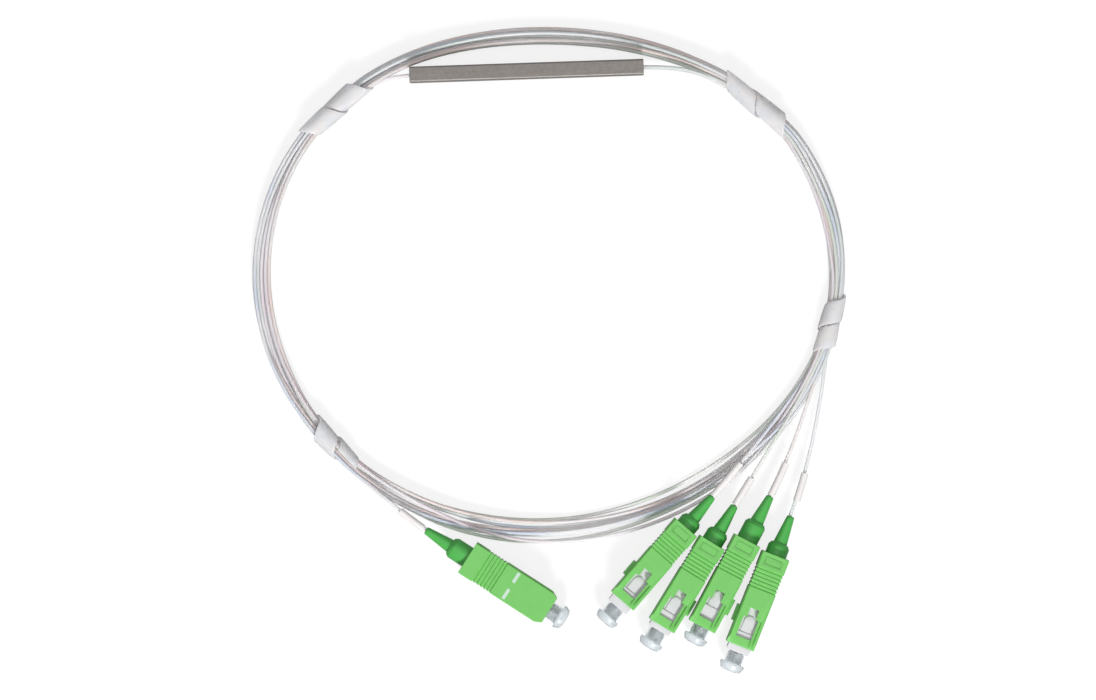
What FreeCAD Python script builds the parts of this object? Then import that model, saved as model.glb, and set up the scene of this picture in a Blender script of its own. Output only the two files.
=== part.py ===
"""A 1 x 4 planar lightwave circuit (PLC) fibre splitter with 0.9 mm tails and SC/APC plugs.

A steel tube holds the splitter chip between its two fibre arrays. One input tail and four
output tails leave the tube's ends and lie in a flat oval ring that four short pieces of spiral
wrap hold together. Each tail ends in a push-pull plug under a dust cap.

Millimetres. The origin is the middle of the tube's underside, +X runs along the tube from the
input to the outputs, and +Z points up from the surface that everything lies on.
"""

import FreeCAD, Part
import math
import os

# ---- steel tube and what it holds ----
MODULE_LENGTH = 60.0
MODULE_WIDTH = 4.0
MODULE_HEIGHT = 7.0
MODULE_WALL = 0.3
MODULE_CORNER = 0.5
SEAL_DEPTH = 4.0
SEAL_FIT = 0.02
CHIP_LENGTH = 14.0
CHIP_THICKNESS = 2.4
CHIP_HEIGHT = 2.8
ARRAY_LENGTH = 8.0
ARRAY_TRIM = 0.1
BARE_FIBRE = 0.25
FIBRE_FIT = 0.02

# ---- tails ----
TAIL_DIAMETER = 0.9
TAIL_FIT = 0.02
TAIL_STACK_PITCH = 0.95
TAIL_IN_SEAL = 3.0
OUTPUT_COUNT = 4

# ---- plug, measured from the front face of its inner frame, positive towards the mating side ----
SHELL_LENGTH = 24.9
SHELL_WIDTH = 9.0
SHELL_DEPTH = 7.4
SHELL_REAR_WALL = 1.3
SHELL_COLLAR_RISE = 0.05
SHELL_COLLAR_LENGTH = 4.0
SHELL_TRAVEL = 2.4
SHELL_FRONT_MOST = 0.3
SHELL_NOSE_LENGTH = 1.8
SHELL_NOSE_STEP = 0.9
GRIP_LENGTH = 5.6
GRIP_RECESS = 0.28
RIB_COUNT = 5
RIB_HEIGHT = 0.2
RIB_FOOT = 0.75
RIB_TOP = 0.35
KEY_LENGTH = 4.4
KEY_WIDTH = 2.1
KEY_HEIGHT = 0.85
KEY_SETBACK = 5.5
CHANNEL_LENGTH = 7.7
CHANNEL_WIDTH = 5.76
CHANNEL_DEPTH = 0.4
WINDOW_WIDTH = 4.04
BRIDGE_LENGTH = 2.3
BRIDGE_DEPTH = 0.75
NOTCH_LENGTH = 2.5
NOTCH_WIDTH = 2.4
PANEL_LENGTH = 2.1
PANEL_WIDTH = 4.6
PANEL_DEPTH = 0.15
PANEL_SETBACK = 0.8
PANEL_LINE = 0.25

FRAME_LENGTH = 16.5
FRAME_WIDTH = 6.3
FRAME_DEPTH = 5.9
FRAME_SLIDE_FIT = 0.1
FRAME_EDGE = 0.4
FRAME_MOUTH_DIAMETER = 4.6
FRAME_MOUTH_DEPTH = 6.5
FRAME_WEB = 1.2
FRAME_WEB_FIT = 0.25
FRAME_POCKET_DEPTH = 0.45
FRAME_POCKET_WIDTH = 4.4
FRAME_POCKET_FRONT = 5.3
FRAME_POCKET_LENGTH = 6.6
FRAME_BLOCK_LENGTH = 4.5
FRAME_BLOCK_WIDTH = 2.8
FRAME_BLOCK_RISE = 0.35
FRAME_RAMP_LENGTH = 4.0
FRAME_RAMP_DROP = 0.35
LUG_LENGTH = 1.3
LUG_SETBACK = 12.9
LUG_WIDTH = 1.6
LUG_HEIGHT = 0.5
LUG_FIT = 0.05

FERRULE_DIAMETER = 2.5
FERRULE_TIP = 2.7
FERRULE_CONE = 0.5
FERRULE_ANGLE = 8.0
FERRULE_TRAVEL = 1.0
FLANGE_DIAMETER = 4.3
FLANGE_LENGTH = 2.0
FLANGE_SEAT_FIT = 0.03
HUB_DIAMETER = 2.9
HUB_LENGTH = 1.8
HUB_BORE = 1.0

SPRING_WIRE = 0.4
SPRING_BORE_FIT = 0.2
SPRING_COILS = 4.5
SPRING_TURN_POINTS = 16
SPRING_SEAT_FIT = 0.02

REAR_NOSE_LENGTH = 2.3
REAR_FIT = 0.1
REAR_BLOCK_LENGTH = 1.5
REAR_BLOCK_MARGIN = 0.35
REAR_BARREL_DIAMETER = 3.4
REAR_BARREL_LENGTH = 7.0
REAR_BORE = 1.3

BOOT_DIAMETER = 5.6
BOOT_REAR = 29.0
BOOT_SHOULDER_DIAMETER = 4.4
BOOT_SHOULDER_LENGTH = 0.9
BOOT_TAPER_DIAMETER = 3.6
BOOT_TIP_DIAMETER = 2.0
BOOT_TAPER_LENGTH = 7.5
BOOT_EDGE = 0.25
BOOT_HOLE_FIT = 0.1
BOOT_SHELL_FIT = 0.25
BOOT_START_GAP = 0.5

CAP_STEM_DIAMETER = 3.7
CAP_STEM_INSIDE = 4.5
CAP_FIT = 0.03
CAP_TIP_GAP = 0.3
CAP_KNOB_DIAMETER = 6.3
CAP_KNOB_LENGTH = 2.0
CAP_KNOB_SETBACK = 3.2
CAP_KNOB_BEVEL = 0.55
CAP_RIB_WIDTH = 0.6
CAP_RIB_HEIGHT = 0.35

# ---- marker sleeves ----
SLEEVE_DIAMETER = 1.85
SLEEVE_FIT = 0.05

# ---- spiral wrap ----
WRAP_DIAMETER = 5.8
WRAP_WALL = 0.55
WRAP_SLIT = 0.6

# ---- ring of coiled tails: centre, mean radius and the waves that make it oval ----
RING_CENTRE = (3.65, -55.03)
RING_RADIUS = 68.73
RING_OVAL = 5.06
RING_LEAN = 1.35
RING_SQUARE_SIN = 1.01
RING_SQUARE_COS = 0.41
BUNDLE_IN_WRAP = 3.7
COIL_STATION_POINTS = 12
COIL_SQUARENESS = 0.92

# Each plug: name, where its frame's front is, its heading, which way its key points, and how far
# the frame stands out of the shell as the plug lies.
PLUGS = [
    {"name": "input", "at": (0.94, -138.10), "heading": -34.8, "key": "down", "out": -0.3},
    {"name": "output_1", "at": (18.51, -138.06), "heading": -132.8, "key": "right", "out": 2.1},
    {"name": "output_2", "at": (28.95, -144.40), "heading": -123.4, "key": "left", "out": 1.45},
    {"name": "output_3", "at": (40.20, -143.50), "heading": -119.8, "key": "left", "out": -0.3},
    {"name": "output_4", "at": (48.90, -150.65), "heading": -113.6, "key": "right", "out": 1.75},
]

# Each piece of wrap: name, angle round the ring, length, length of one turn of the strip, where
# the strip starts round its axis.
WRAPS = [
    {"name": "wrap_1", "angle": 138.4, "length": 18.0, "pitch": 9.0, "start": 200.0},
    {"name": "wrap_2", "angle": 39.2, "length": 18.5, "pitch": 9.8, "start": 150.0},
    {"name": "wrap_3", "angle": -9.6, "length": 12.5, "pitch": 6.6, "start": 120.0},
    {"name": "wrap_4", "angle": -145.2, "length": 14.0, "pitch": 7.8, "start": 170.0},
]

# The coiled bundle's cross-section round the ring: angle, shift outwards from the ring's line,
# width, height, height of its middle.
COIL_STATIONS = [
    (-25.0, 0.2, 5.0, 3.0, 2.10),
    (-33.0, 0.3, 5.3, 2.6, 1.70),
    (-42.0, 0.2, 5.4, 2.3, 1.40),
    (-52.0, -0.2, 5.6, 2.1, 1.20),
    (-62.0, -0.4, 6.8, 1.9, 1.05),
    (-74.0, -0.4, 7.6, 1.9, 1.05),
    (-86.0, 0.0, 7.4, 1.9, 1.05),
    (-98.0, 0.2, 7.0, 2.0, 1.10),
    (-110.0, 0.2, 6.2, 2.2, 1.30),
    (-122.0, 0.0, 5.2, 2.8, 1.80),
    (-133.0, 0.0, 4.2, 3.4, 2.50),
    (-158.5, 0.0, 4.1, 3.5, 2.50),
    (-169.0, 0.0, 4.6, 3.2, 1.80),
    (180.0, 0.0, 4.8, 3.1, 1.65),
    (169.0, 0.0, 4.7, 3.2, 1.75),
    (158.0, 0.0, 4.2, 3.4, 2.30),
    (126.5, 0.2, 3.9, 3.5, 2.50),
    (119.0, 0.5, 3.4, 3.5, 2.10),
    (108.0, 0.2, 4.2, 3.2, 1.80),
    (96.0, 0.0, 4.8, 3.0, 1.65),
    (84.0, 0.0, 4.9, 3.0, 1.65),
    (72.0, 0.1, 4.7, 3.1, 1.80),
    (61.0, 0.0, 4.4, 3.4, 2.20),
    (54.5, -0.3, 4.3, 3.6, 2.40),
    (24.0, 0.0, 4.4, 3.4, 2.30),
    (12.0, 0.0, 4.8, 3.2, 1.75),
    (4.0, 0.0, 4.3, 3.4, 2.30),
]

# Each output tail from where it leaves the bundle to its plug: the bundle end of its route.
OUTPUT_LEAVES = [
    [(64.2, -87.7, 2.6)],
    [(66.4, -87.7, 2.9)],
    [(70.8, -83.0, 2.8)],
    [(74.8, -72.1, 2.9), (72.6, -87.0, 3.3)],
]
OUTPUT_LAST_CORNER = 46.0
INPUT_LEAVES = [(-48.1, -100.8, 2.7)]
INPUT_LAST_CORNER = 42.0
TAIL_END = 24.5

# From the tube's ends to the bundle.
INPUT_JOINS = [(-34.9, 0.0, 3.5), (-41.3, -3.1, 2.9)]
OUTPUTS_JOIN = [(36.0, 0.0, 3.5), (44.6, -1.9, 2.7)]
OUTPUTS_JOIN_PITCH = 0.93

# Each marker sleeve: how far its near end is from the boot's tip, and its length.
SLEEVES = [
    {"name": "input", "gap": 0.8, "length": 7.4},
    {"name": "output_1", "gap": 0.15, "length": 11.0},
    {"name": "output_2", "gap": 0.3, "length": 8.0},
    {"name": "output_3", "gap": 0.2, "length": 9.2},
    {"name": "output_4", "gap": 4.2, "length": 7.4},
]

# ---- sizes that follow from those above ----
MODULE_MIDDLE_HEIGHT = MODULE_HEIGHT / 2
SHELL_COLLAR_WIDTH = SHELL_WIDTH + 2 * SHELL_COLLAR_RISE
SHELL_CAVITY_WIDTH = FRAME_WIDTH + 2 * FRAME_SLIDE_FIT
SHELL_CAVITY_DEPTH = FRAME_DEPTH + 2 * FRAME_SLIDE_FIT
SHELL_HOLE_DIAMETER = BOOT_DIAMETER + 2 * BOOT_SHELL_FIT
SIDE_PLUG_HEIGHT = SHELL_COLLAR_WIDTH / 2
FLAT_PLUG_HEIGHT = SHELL_DEPTH / 2 + KEY_HEIGHT
FRAME_REAR_BORE = FLANGE_DIAMETER + 2 * REAR_FIT
FLANGE_FRONT = FRAME_MOUTH_DEPTH + FRAME_WEB + FLANGE_SEAT_FIT
SPRING_FRONT = FLANGE_FRONT + FLANGE_LENGTH + SPRING_SEAT_FIT
SPRING_REAR = FRAME_LENGTH - REAR_NOSE_LENGTH - SPRING_SEAT_FIT
REAR_END = FRAME_LENGTH + REAR_BLOCK_LENGTH + REAR_BARREL_LENGTH
BOOT_FRONT = FRAME_LENGTH + REAR_BLOCK_LENGTH + BOOT_START_GAP
BOOT_TIP = BOOT_REAR + BOOT_SHOULDER_LENGTH + BOOT_TAPER_LENGTH
WRAP_BORE = WRAP_DIAMETER - 2 * WRAP_WALL

X_AXIS = FreeCAD.Vector(1, 0, 0)
Z_AXIS = FreeCAD.Vector(0, 0, 1)


# ---- small helpers ----
def block(x, y, z):
    """A box from pairs of low and high coordinates."""
    corner = FreeCAD.Vector(x[0], y[0], z[0])
    return Part.makeBox(x[1] - x[0], y[1] - y[0], z[1] - z[0], corner)


def middle_block(x, width, depth):
    """A box along X that is centred on the X axis."""
    return block(x, (-width / 2, width / 2), (-depth / 2, depth / 2))


def rod(x_low, x_high, diameter):
    """A cylinder on the X axis."""
    return Part.makeCylinder(diameter / 2, x_high - x_low, FreeCAD.Vector(x_low, 0, 0), X_AXIS)


def turned(outline):
    """A solid turned about the X axis from an outline of (x, radius) points."""
    points = [FreeCAD.Vector(x, 0, radius) for x, radius in outline]
    face = Part.Face(Part.makePolygon(points + points[:1]))
    return face.revolve(FreeCAD.Vector(0, 0, 0), X_AXIS, 360)


def prism(outline, along, low, high):
    """A closed outline of (x, other) points, drawn across Z or Y and pushed from low to high."""
    if along == "z":
        points = [FreeCAD.Vector(x, other, low) for x, other in outline]
        push = FreeCAD.Vector(0, 0, high - low)
    else:
        points = [FreeCAD.Vector(x, low, other) for x, other in outline]
        push = FreeCAD.Vector(0, high - low, 0)
    return Part.Face(Part.makePolygon(points + points[:1])).extrude(push)


def both_sides(half_outline):
    """A closed outline from one half of it, mirrored across the X axis."""
    return half_outline + [(x, -other) for x, other in reversed(half_outline)]


def export(node, shape):
    """Write one node, after a look at how sound it is."""
    if not shape.isValid():
        print("not valid:", node)
    shape.exportStep(os.path.join("parts", node + ".step"))
    print(f"{node}: {len(shape.Solids)} solid(s), {shape.Volume:.2f} mm3")


# ---- steel tube and what it holds ----
def rounded_bar(length, width, height, corner):
    """A bar along X with rounded long edges, its underside at z = 0."""
    bar = block((-length / 2, length / 2), (-width / 2, width / 2), (0, height))
    along_x = [edge for edge in bar.Edges if abs(edge.tangentAt(edge.FirstParameter).x) > 0.99]
    return bar.makeFillet(corner, along_x)


def make_steel_tube():
    outside = rounded_bar(MODULE_LENGTH, MODULE_WIDTH, MODULE_HEIGHT, MODULE_CORNER)
    inside = module_inside(MODULE_LENGTH + 2, 0)
    return outside.cut(inside)


def module_inside(length, fit):
    """The tube's inner space, taken in by a clearance all round."""
    width = MODULE_WIDTH - 2 * MODULE_WALL - 2 * fit
    height = MODULE_HEIGHT - 2 * MODULE_WALL - 2 * fit
    inside = rounded_bar(length, width, height, MODULE_CORNER - MODULE_WALL)
    inside.translate(FreeCAD.Vector(0, 0, MODULE_WALL + fit))
    return inside


def make_seal(side, tail_slot, fibre_slot):
    """The plug of resin that closes one end, side being -1 or 1."""
    seal = module_inside(SEAL_DEPTH, 0)
    seal.translate(FreeCAD.Vector(side * (MODULE_LENGTH - SEAL_DEPTH) / 2, 0, 0))
    return seal.cut(tail_slot).cut(fibre_slot)


def tail_heights(count, middle, pitch):
    """Heights of a stack of tails about a middle height."""
    return [middle + pitch * (n - (count - 1) / 2) for n in range(count)]


def make_tail_slot(side, count):
    """The space that the tails take in a seal, open to the outside."""
    inner = side * (MODULE_LENGTH / 2 - TAIL_IN_SEAL)
    outer = side * (MODULE_LENGTH / 2 + 1)
    low, high = sorted((inner, outer))
    diameter = TAIL_DIAMETER + 2 * TAIL_FIT
    heights = tail_heights(count, MODULE_MIDDLE_HEIGHT, TAIL_STACK_PITCH)
    ends = [rod(low, high, diameter) for _ in heights]
    for end, height in zip(ends, heights):
        end.translate(FreeCAD.Vector(0, 0, height))
    if count == 1:
        return ends[0]
    between = block((low, high), (-diameter / 2, diameter / 2), (heights[0], heights[-1]))
    return between.fuse(ends).removeSplitter()


def fibre_block(x_low, x_high, count, fit):
    """Bare fibres side by side in one flat ribbon, between two places along the tube."""
    half = BARE_FIBRE / 2 + fit
    reach = count * BARE_FIBRE / 2 + fit
    middle = MODULE_MIDDLE_HEIGHT
    return block((x_low, x_high), (-half, half), (middle - reach, middle + reach))


def make_module():
    """The tube, its seals and the optical parts on its axis."""
    chip_end = CHIP_LENGTH / 2
    array_end = chip_end + ARRAY_LENGTH
    seal_inner = MODULE_LENGTH / 2 - SEAL_DEPTH
    tail_inner = MODULE_LENGTH / 2 - TAIL_IN_SEAL
    export("steel_tube", make_steel_tube())
    for name, side, count in (("input", -1, 1), ("output", 1, OUTPUT_COUNT)):
        slot = fibre_block(*sorted((side * (seal_inner - 1), side * (tail_inner + 1))), count, FIBRE_FIT)
        export(name + "_seal", make_seal(side, make_tail_slot(side, count), slot))
        fibre = fibre_block(*sorted((side * array_end, side * tail_inner)), count, 0)
        export("bare_fibre_" + name, fibre)
        array = middle_block(
            sorted((side * chip_end, side * array_end)), CHIP_THICKNESS - ARRAY_TRIM, CHIP_HEIGHT
        )
        array.translate(FreeCAD.Vector(0, 0, MODULE_MIDDLE_HEIGHT))
        export("fibre_array_" + name, array)
    chip = middle_block((-chip_end, chip_end), CHIP_THICKNESS, CHIP_HEIGHT - ARRAY_TRIM)
    chip.translate(FreeCAD.Vector(0, 0, MODULE_MIDDLE_HEIGHT))
    export("splitter_chip", chip)


# ---- plug pieces, each drawn on the X axis with the inner frame's front face at x = 0 ----
def grip_profile(half, recess, collar_half, nose_step):
    """Half an outline of the shell, from rear to front, with the ribs of the grip."""
    rear = -SHELL_LENGTH
    grip_rear = rear + SHELL_COLLAR_LENGTH
    grip_front = grip_rear + GRIP_LENGTH
    pitch = (GRIP_LENGTH - 2 * recess) / RIB_COUNT
    outline = [(rear, collar_half), (grip_rear, collar_half), (grip_rear + recess, half - recess)]
    for n in range(RIB_COUNT):
        middle = grip_rear + recess + pitch * (n + 0.5)
        outline += [
            (middle - RIB_FOOT / 2, half - recess),
            (middle - RIB_TOP / 2, half - recess + RIB_HEIGHT),
            (middle + RIB_TOP / 2, half - recess + RIB_HEIGHT),
            (middle + RIB_FOOT / 2, half - recess),
        ]
    outline += [(grip_front - recess, half - recess), (grip_front, half)]
    if nose_step:
        outline += [(-SHELL_NOSE_LENGTH, half), (0, half - nose_step)]
    else:
        outline += [(0, half)]
    return outline


def make_shell():
    """The green push-pull shell, its front face at x = 0."""
    half_width, half_depth = SHELL_WIDTH / 2, SHELL_DEPTH / 2
    plan = grip_profile(half_width, GRIP_RECESS, SHELL_COLLAR_WIDTH / 2, SHELL_NOSE_STEP)
    side = grip_profile(half_depth, GRIP_RECESS, half_depth, 0)
    shell = prism(both_sides(plan), "z", -half_depth, half_depth)
    shell = shell.common(prism(both_sides(side), "y", -SHELL_WIDTH, SHELL_WIDTH))

    key_x = (-KEY_SETBACK - KEY_LENGTH, -KEY_SETBACK)
    key_y = (-KEY_WIDTH / 2, KEY_WIDTH / 2)
    shell = shell.fuse(block(key_x, key_y, (half_depth - 0.3, half_depth + KEY_HEIGHT)))

    cavity = middle_block((-SHELL_LENGTH + SHELL_REAR_WALL, 1), SHELL_CAVITY_WIDTH, SHELL_CAVITY_DEPTH)
    shell = shell.cut([cavity, rod(-SHELL_LENGTH - 1, 0, SHELL_HOLE_DIAMETER)])
    return shell.cut(shell_side_cuts()).removeSplitter()


def shell_side_cuts():
    """What is cut from both narrow sides: channel, window, notch, ramp, panel and lug groove."""
    cuts = []
    wall = SHELL_WIDTH / 2
    cavity = SHELL_CAVITY_WIDTH / 2
    lug_rear = -LUG_SETBACK - LUG_LENGTH - SHELL_FRONT_MOST - LUG_FIT
    lug_front = -LUG_SETBACK + SHELL_TRAVEL - SHELL_FRONT_MOST + LUG_FIT
    lug_depth = FRAME_WIDTH / 2 + LUG_HEIGHT + LUG_FIT
    lug_half = LUG_WIDTH / 2 + LUG_FIT
    for side in (-1, 1):
        def cut(x, depth, width, inner=wall + 1):
            """A box cut inwards from outside the wall down to a distance from the axis."""
            y = sorted((side * depth, side * inner))
            cuts.append(block(x, y, (-width / 2, width / 2)))

        cut((-CHANNEL_LENGTH, 1), wall - CHANNEL_DEPTH, CHANNEL_WIDTH)
        cut((-CHANNEL_LENGTH, -BRIDGE_LENGTH), 0, WINDOW_WIDTH)
        cut((-CHANNEL_LENGTH - NOTCH_LENGTH, -CHANNEL_LENGTH + 1), 0, NOTCH_WIDTH)
        cut((-BRIDGE_LENGTH - 1, 1), wall - BRIDGE_DEPTH, WINDOW_WIDTH)
        cut((lug_rear, lug_front), 0, 2 * lug_half, lug_depth)
        panel_x = (-SHELL_LENGTH + PANEL_SETBACK, -SHELL_LENGTH + PANEL_SETBACK + PANEL_LENGTH)
        line = block(
            panel_x,
            sorted((side * (SHELL_COLLAR_WIDTH / 2 - PANEL_DEPTH), side * (wall + 1))),
            (-PANEL_WIDTH / 2, PANEL_WIDTH / 2),
        )
        raised = block(
            (panel_x[0] + PANEL_LINE, panel_x[1] - PANEL_LINE),
            (-wall - 2, wall + 2),
            (-PANEL_WIDTH / 2 + PANEL_LINE, PANEL_WIDTH / 2 - PANEL_LINE),
        )
        cuts.append(line.cut(raised))
    assert cavity < lug_depth < wall
    return cuts


def make_plug_frame():
    """The white inner frame, with its latch shoulders, its mouth and its bore for the flange."""
    half_width, half_depth = FRAME_WIDTH / 2, FRAME_DEPTH / 2
    plan = [
        (-FRAME_LENGTH, half_width),
        (-FRAME_RAMP_LENGTH, half_width),
        (-FRAME_EDGE, half_width - FRAME_RAMP_DROP),
        (0, half_width - FRAME_RAMP_DROP - FRAME_EDGE),
    ]
    side = [(-FRAME_LENGTH, half_depth), (-FRAME_EDGE, half_depth), (0, half_depth - FRAME_EDGE)]
    frame = prism(both_sides(plan), "z", -half_depth, half_depth)
    frame = frame.common(prism(both_sides(side), "y", -FRAME_WIDTH, FRAME_WIDTH))
    for side_sign in (-1, 1):
        frame = frame.cut(frame_pocket(side_sign))
        lug = block(
            (-LUG_SETBACK - LUG_LENGTH, -LUG_SETBACK),
            sorted((side_sign * (half_width - 0.2), side_sign * (half_width + LUG_HEIGHT))),
            (-LUG_WIDTH / 2, LUG_WIDTH / 2),
        )
        frame = frame.fuse(lug)
    web_rear = FRAME_MOUTH_DEPTH + FRAME_WEB
    bores = [
        rod(-FRAME_MOUTH_DEPTH, 1, FRAME_MOUTH_DIAMETER),
        rod(-web_rear - 1, 0, FERRULE_DIAMETER + 2 * FRAME_WEB_FIT),
        rod(-FRAME_LENGTH - 1, -web_rear, FRAME_REAR_BORE),
    ]
    return frame.cut(bores).removeSplitter()


def frame_pocket(side):
    """The pocket behind a latch shoulder, round the block that stands in it."""
    half_width = FRAME_WIDTH / 2
    rear = -FRAME_POCKET_FRONT - FRAME_POCKET_LENGTH
    floor = half_width - FRAME_POCKET_DEPTH
    pocket = block(
        (rear, -FRAME_POCKET_FRONT),
        sorted((side * floor, side * (half_width + 1))),
        (-FRAME_POCKET_WIDTH / 2, FRAME_POCKET_WIDTH / 2),
    )
    radius = FRAME_BLOCK_WIDTH / 2
    block_rear = -FRAME_POCKET_FRONT - FRAME_BLOCK_LENGTH + radius
    top = side * (floor + FRAME_BLOCK_RISE)
    low, high = sorted((side * (floor - 0.1), top))
    standing = block((block_rear, -FRAME_POCKET_FRONT - 0.3), (low, high), (-radius, radius))
    dome = Part.makeCylinder(
        radius, high - low, FreeCAD.Vector(block_rear, low, 0), FreeCAD.Vector(0, 1, 0)
    )
    return pocket.cut([standing, dome])


def make_ferrule():
    """The ceramic ferrule in its flange, its end ground at an angle."""
    radius = FERRULE_DIAMETER / 2
    flange_rear = -FLANGE_FRONT - FLANGE_LENGTH
    hub_rear = flange_rear - HUB_LENGTH
    ferrule = turned(
        [
            (hub_rear, 0),
            (hub_rear, HUB_DIAMETER / 2),
            (flange_rear, HUB_DIAMETER / 2),
            (flange_rear, FLANGE_DIAMETER / 2),
            (-FLANGE_FRONT, FLANGE_DIAMETER / 2),
            (-FLANGE_FRONT, radius),
            (FERRULE_TIP - FERRULE_CONE, radius),
            (FERRULE_TIP, radius - FERRULE_CONE / 2),
            (FERRULE_TIP, 0),
        ]
    )
    cutter = block((0, 3), (-5, 5), (-5, 5))
    cutter.rotate(FreeCAD.Vector(0, 0, 0), FreeCAD.Vector(0, 1, 0), FERRULE_ANGLE)
    cutter.translate(FreeCAD.Vector(FERRULE_TIP - 0.15, 0, 0))
    return ferrule.cut([cutter, rod(hub_rear - 1, hub_rear + HUB_LENGTH, HUB_BORE)])


def make_spring():
    """The coil spring between the flange and the rear body."""
    radius = (HUB_DIAMETER + 2 * SPRING_BORE_FIT + SPRING_WIRE) / 2
    length = SPRING_REAR - SPRING_FRONT - SPRING_WIRE
    steps = round(SPRING_COILS * SPRING_TURN_POINTS)
    points = []
    for n in range(steps + 1):
        turn = 2 * math.pi * n / SPRING_TURN_POINTS
        x = -SPRING_REAR + SPRING_WIRE / 2 + length * n / steps
        points.append(FreeCAD.Vector(x, radius * math.cos(turn), radius * math.sin(turn)))
    line = Part.BSplineCurve()
    line.interpolate(points)
    heading = line.tangent(line.FirstParameter)[0]
    wire = Part.Wire(Part.makeCircle(SPRING_WIRE / 2, points[0], heading))
    return Part.Solid(Part.Wire(line.toShape()).makePipeShell([wire], True, True))


def make_rear_body():
    """The stop behind the spring, with the barrel that the boot is pushed onto."""
    block_rear = -FRAME_LENGTH - REAR_BLOCK_LENGTH
    nose = rod(-FRAME_LENGTH, -FRAME_LENGTH + REAR_NOSE_LENGTH, FRAME_REAR_BORE)
    body = middle_block(
        (block_rear, -FRAME_LENGTH),
        FRAME_WIDTH - REAR_BLOCK_MARGIN,
        FRAME_DEPTH - REAR_BLOCK_MARGIN,
    )
    barrel = rod(-REAR_END, block_rear, REAR_BARREL_DIAMETER)
    bore = rod(-REAR_END - 1, 0, REAR_BORE)
    spring_room = rod(-SPRING_REAR, 0, HUB_DIAMETER + 2 * SPRING_BORE_FIT)
    return body.fuse([nose, barrel]).cut([bore, spring_room]).removeSplitter()


def make_boot():
    """The tapered green boot, bored for the barrel and for the tail."""
    shoulder = -BOOT_REAR - BOOT_SHOULDER_LENGTH
    half = BOOT_DIAMETER / 2
    boot = turned(
        [
            (-BOOT_TIP, 0),
            (-BOOT_TIP, BOOT_TIP_DIAMETER / 2 - BOOT_EDGE),
            (-BOOT_TIP + BOOT_EDGE, BOOT_TIP_DIAMETER / 2),
            (shoulder, BOOT_TAPER_DIAMETER / 2),
            (shoulder, BOOT_SHOULDER_DIAMETER / 2),
            (-BOOT_REAR, half),
            (-BOOT_FRONT - BOOT_EDGE, half),
            (-BOOT_FRONT, half - BOOT_EDGE),
            (-BOOT_FRONT, 0),
        ]
    )
    barrel_hole = rod(-REAR_END, 0, REAR_BARREL_DIAMETER)
    tail_hole = rod(-BOOT_TIP - 1, 0, TAIL_DIAMETER + 2 * BOOT_HOLE_FIT)
    return boot.cut([barrel_hole, tail_hole])


def make_dust_cap():
    """The clear cap: a stem over the ferrule and a knob to pull it by."""
    knob_front = CAP_KNOB_SETBACK + CAP_KNOB_LENGTH
    knob, stem = CAP_KNOB_DIAMETER / 2, CAP_STEM_DIAMETER / 2
    cap = turned(
        [
            (-CAP_STEM_INSIDE, 0),
            (-CAP_STEM_INSIDE, stem),
            (CAP_KNOB_SETBACK, stem),
            (CAP_KNOB_SETBACK, knob),
            (CAP_KNOB_SETBACK + CAP_KNOB_BEVEL, knob),
            (knob_front - CAP_KNOB_BEVEL / 2, knob - CAP_KNOB_BEVEL),
            (knob_front, knob / 2),
            (knob_front, 0),
        ]
    )
    rib_x = (FRAME_EDGE, CAP_KNOB_SETBACK + 0.1)
    reach = stem + CAP_RIB_HEIGHT
    half = CAP_RIB_WIDTH / 2
    ribs = [block(rib_x, (-reach, reach), (-half, half)), block(rib_x, (-half, half), (-reach, reach))]
    bore = rod(-CAP_STEM_INSIDE - 1, FERRULE_TIP + CAP_TIP_GAP, FERRULE_DIAMETER + 2 * CAP_FIT)
    return cap.fuse(ribs).cut(bore).removeSplitter()


# ---- placing the plugs ----
def plug_matrix(plug):
    """The placement that lays a plug down at its spot, heading and roll."""
    heading = math.radians(plug["heading"])
    forward = FreeCAD.Vector(math.cos(heading), math.sin(heading), 0)
    left = FreeCAD.Vector(-math.sin(heading), math.cos(heading), 0)
    key = {"left": left, "right": -left, "down": -Z_AXIS}[plug["key"]]
    across = key.cross(forward)
    height = FLAT_PLUG_HEIGHT if plug["key"] == "down" else SIDE_PLUG_HEIGHT
    x, y = plug["at"]
    return FreeCAD.Matrix(
        forward.x, across.x, key.x, x,
        forward.y, across.y, key.y, y,
        forward.z, across.z, key.z, height,
        0, 0, 0, 1,
    )


def placed(shape, plug, slide=0.0):
    """A copy of a plug piece where it lies, moved along the plug first."""
    moved = shape.copy()
    moved.translate(FreeCAD.Vector(slide, 0, 0))
    moved.transformShape(plug_matrix(plug))
    return moved


def on_plug(plug, distance_behind):
    """A point on a plug's axis, behind its frame's front face."""
    return plug_matrix(plug).multVec(FreeCAD.Vector(-distance_behind, 0, 0))


def make_plugs():
    """All five plugs, each piece in a node of its own."""
    pieces = {
        "plug_frame": make_plug_frame(),
        "ferrule": make_ferrule(),
        "spring": make_spring(),
        "rear_body": make_rear_body(),
        "boot": make_boot(),
        "dust_cap": make_dust_cap(),
    }
    shell = make_shell()
    for plug in PLUGS:
        for piece, shape in pieces.items():
            export(f"{piece}_{plug['name']}", placed(shape, plug))
        export(f"shell_{plug['name']}", placed(shell, plug, -plug["out"]))


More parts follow.
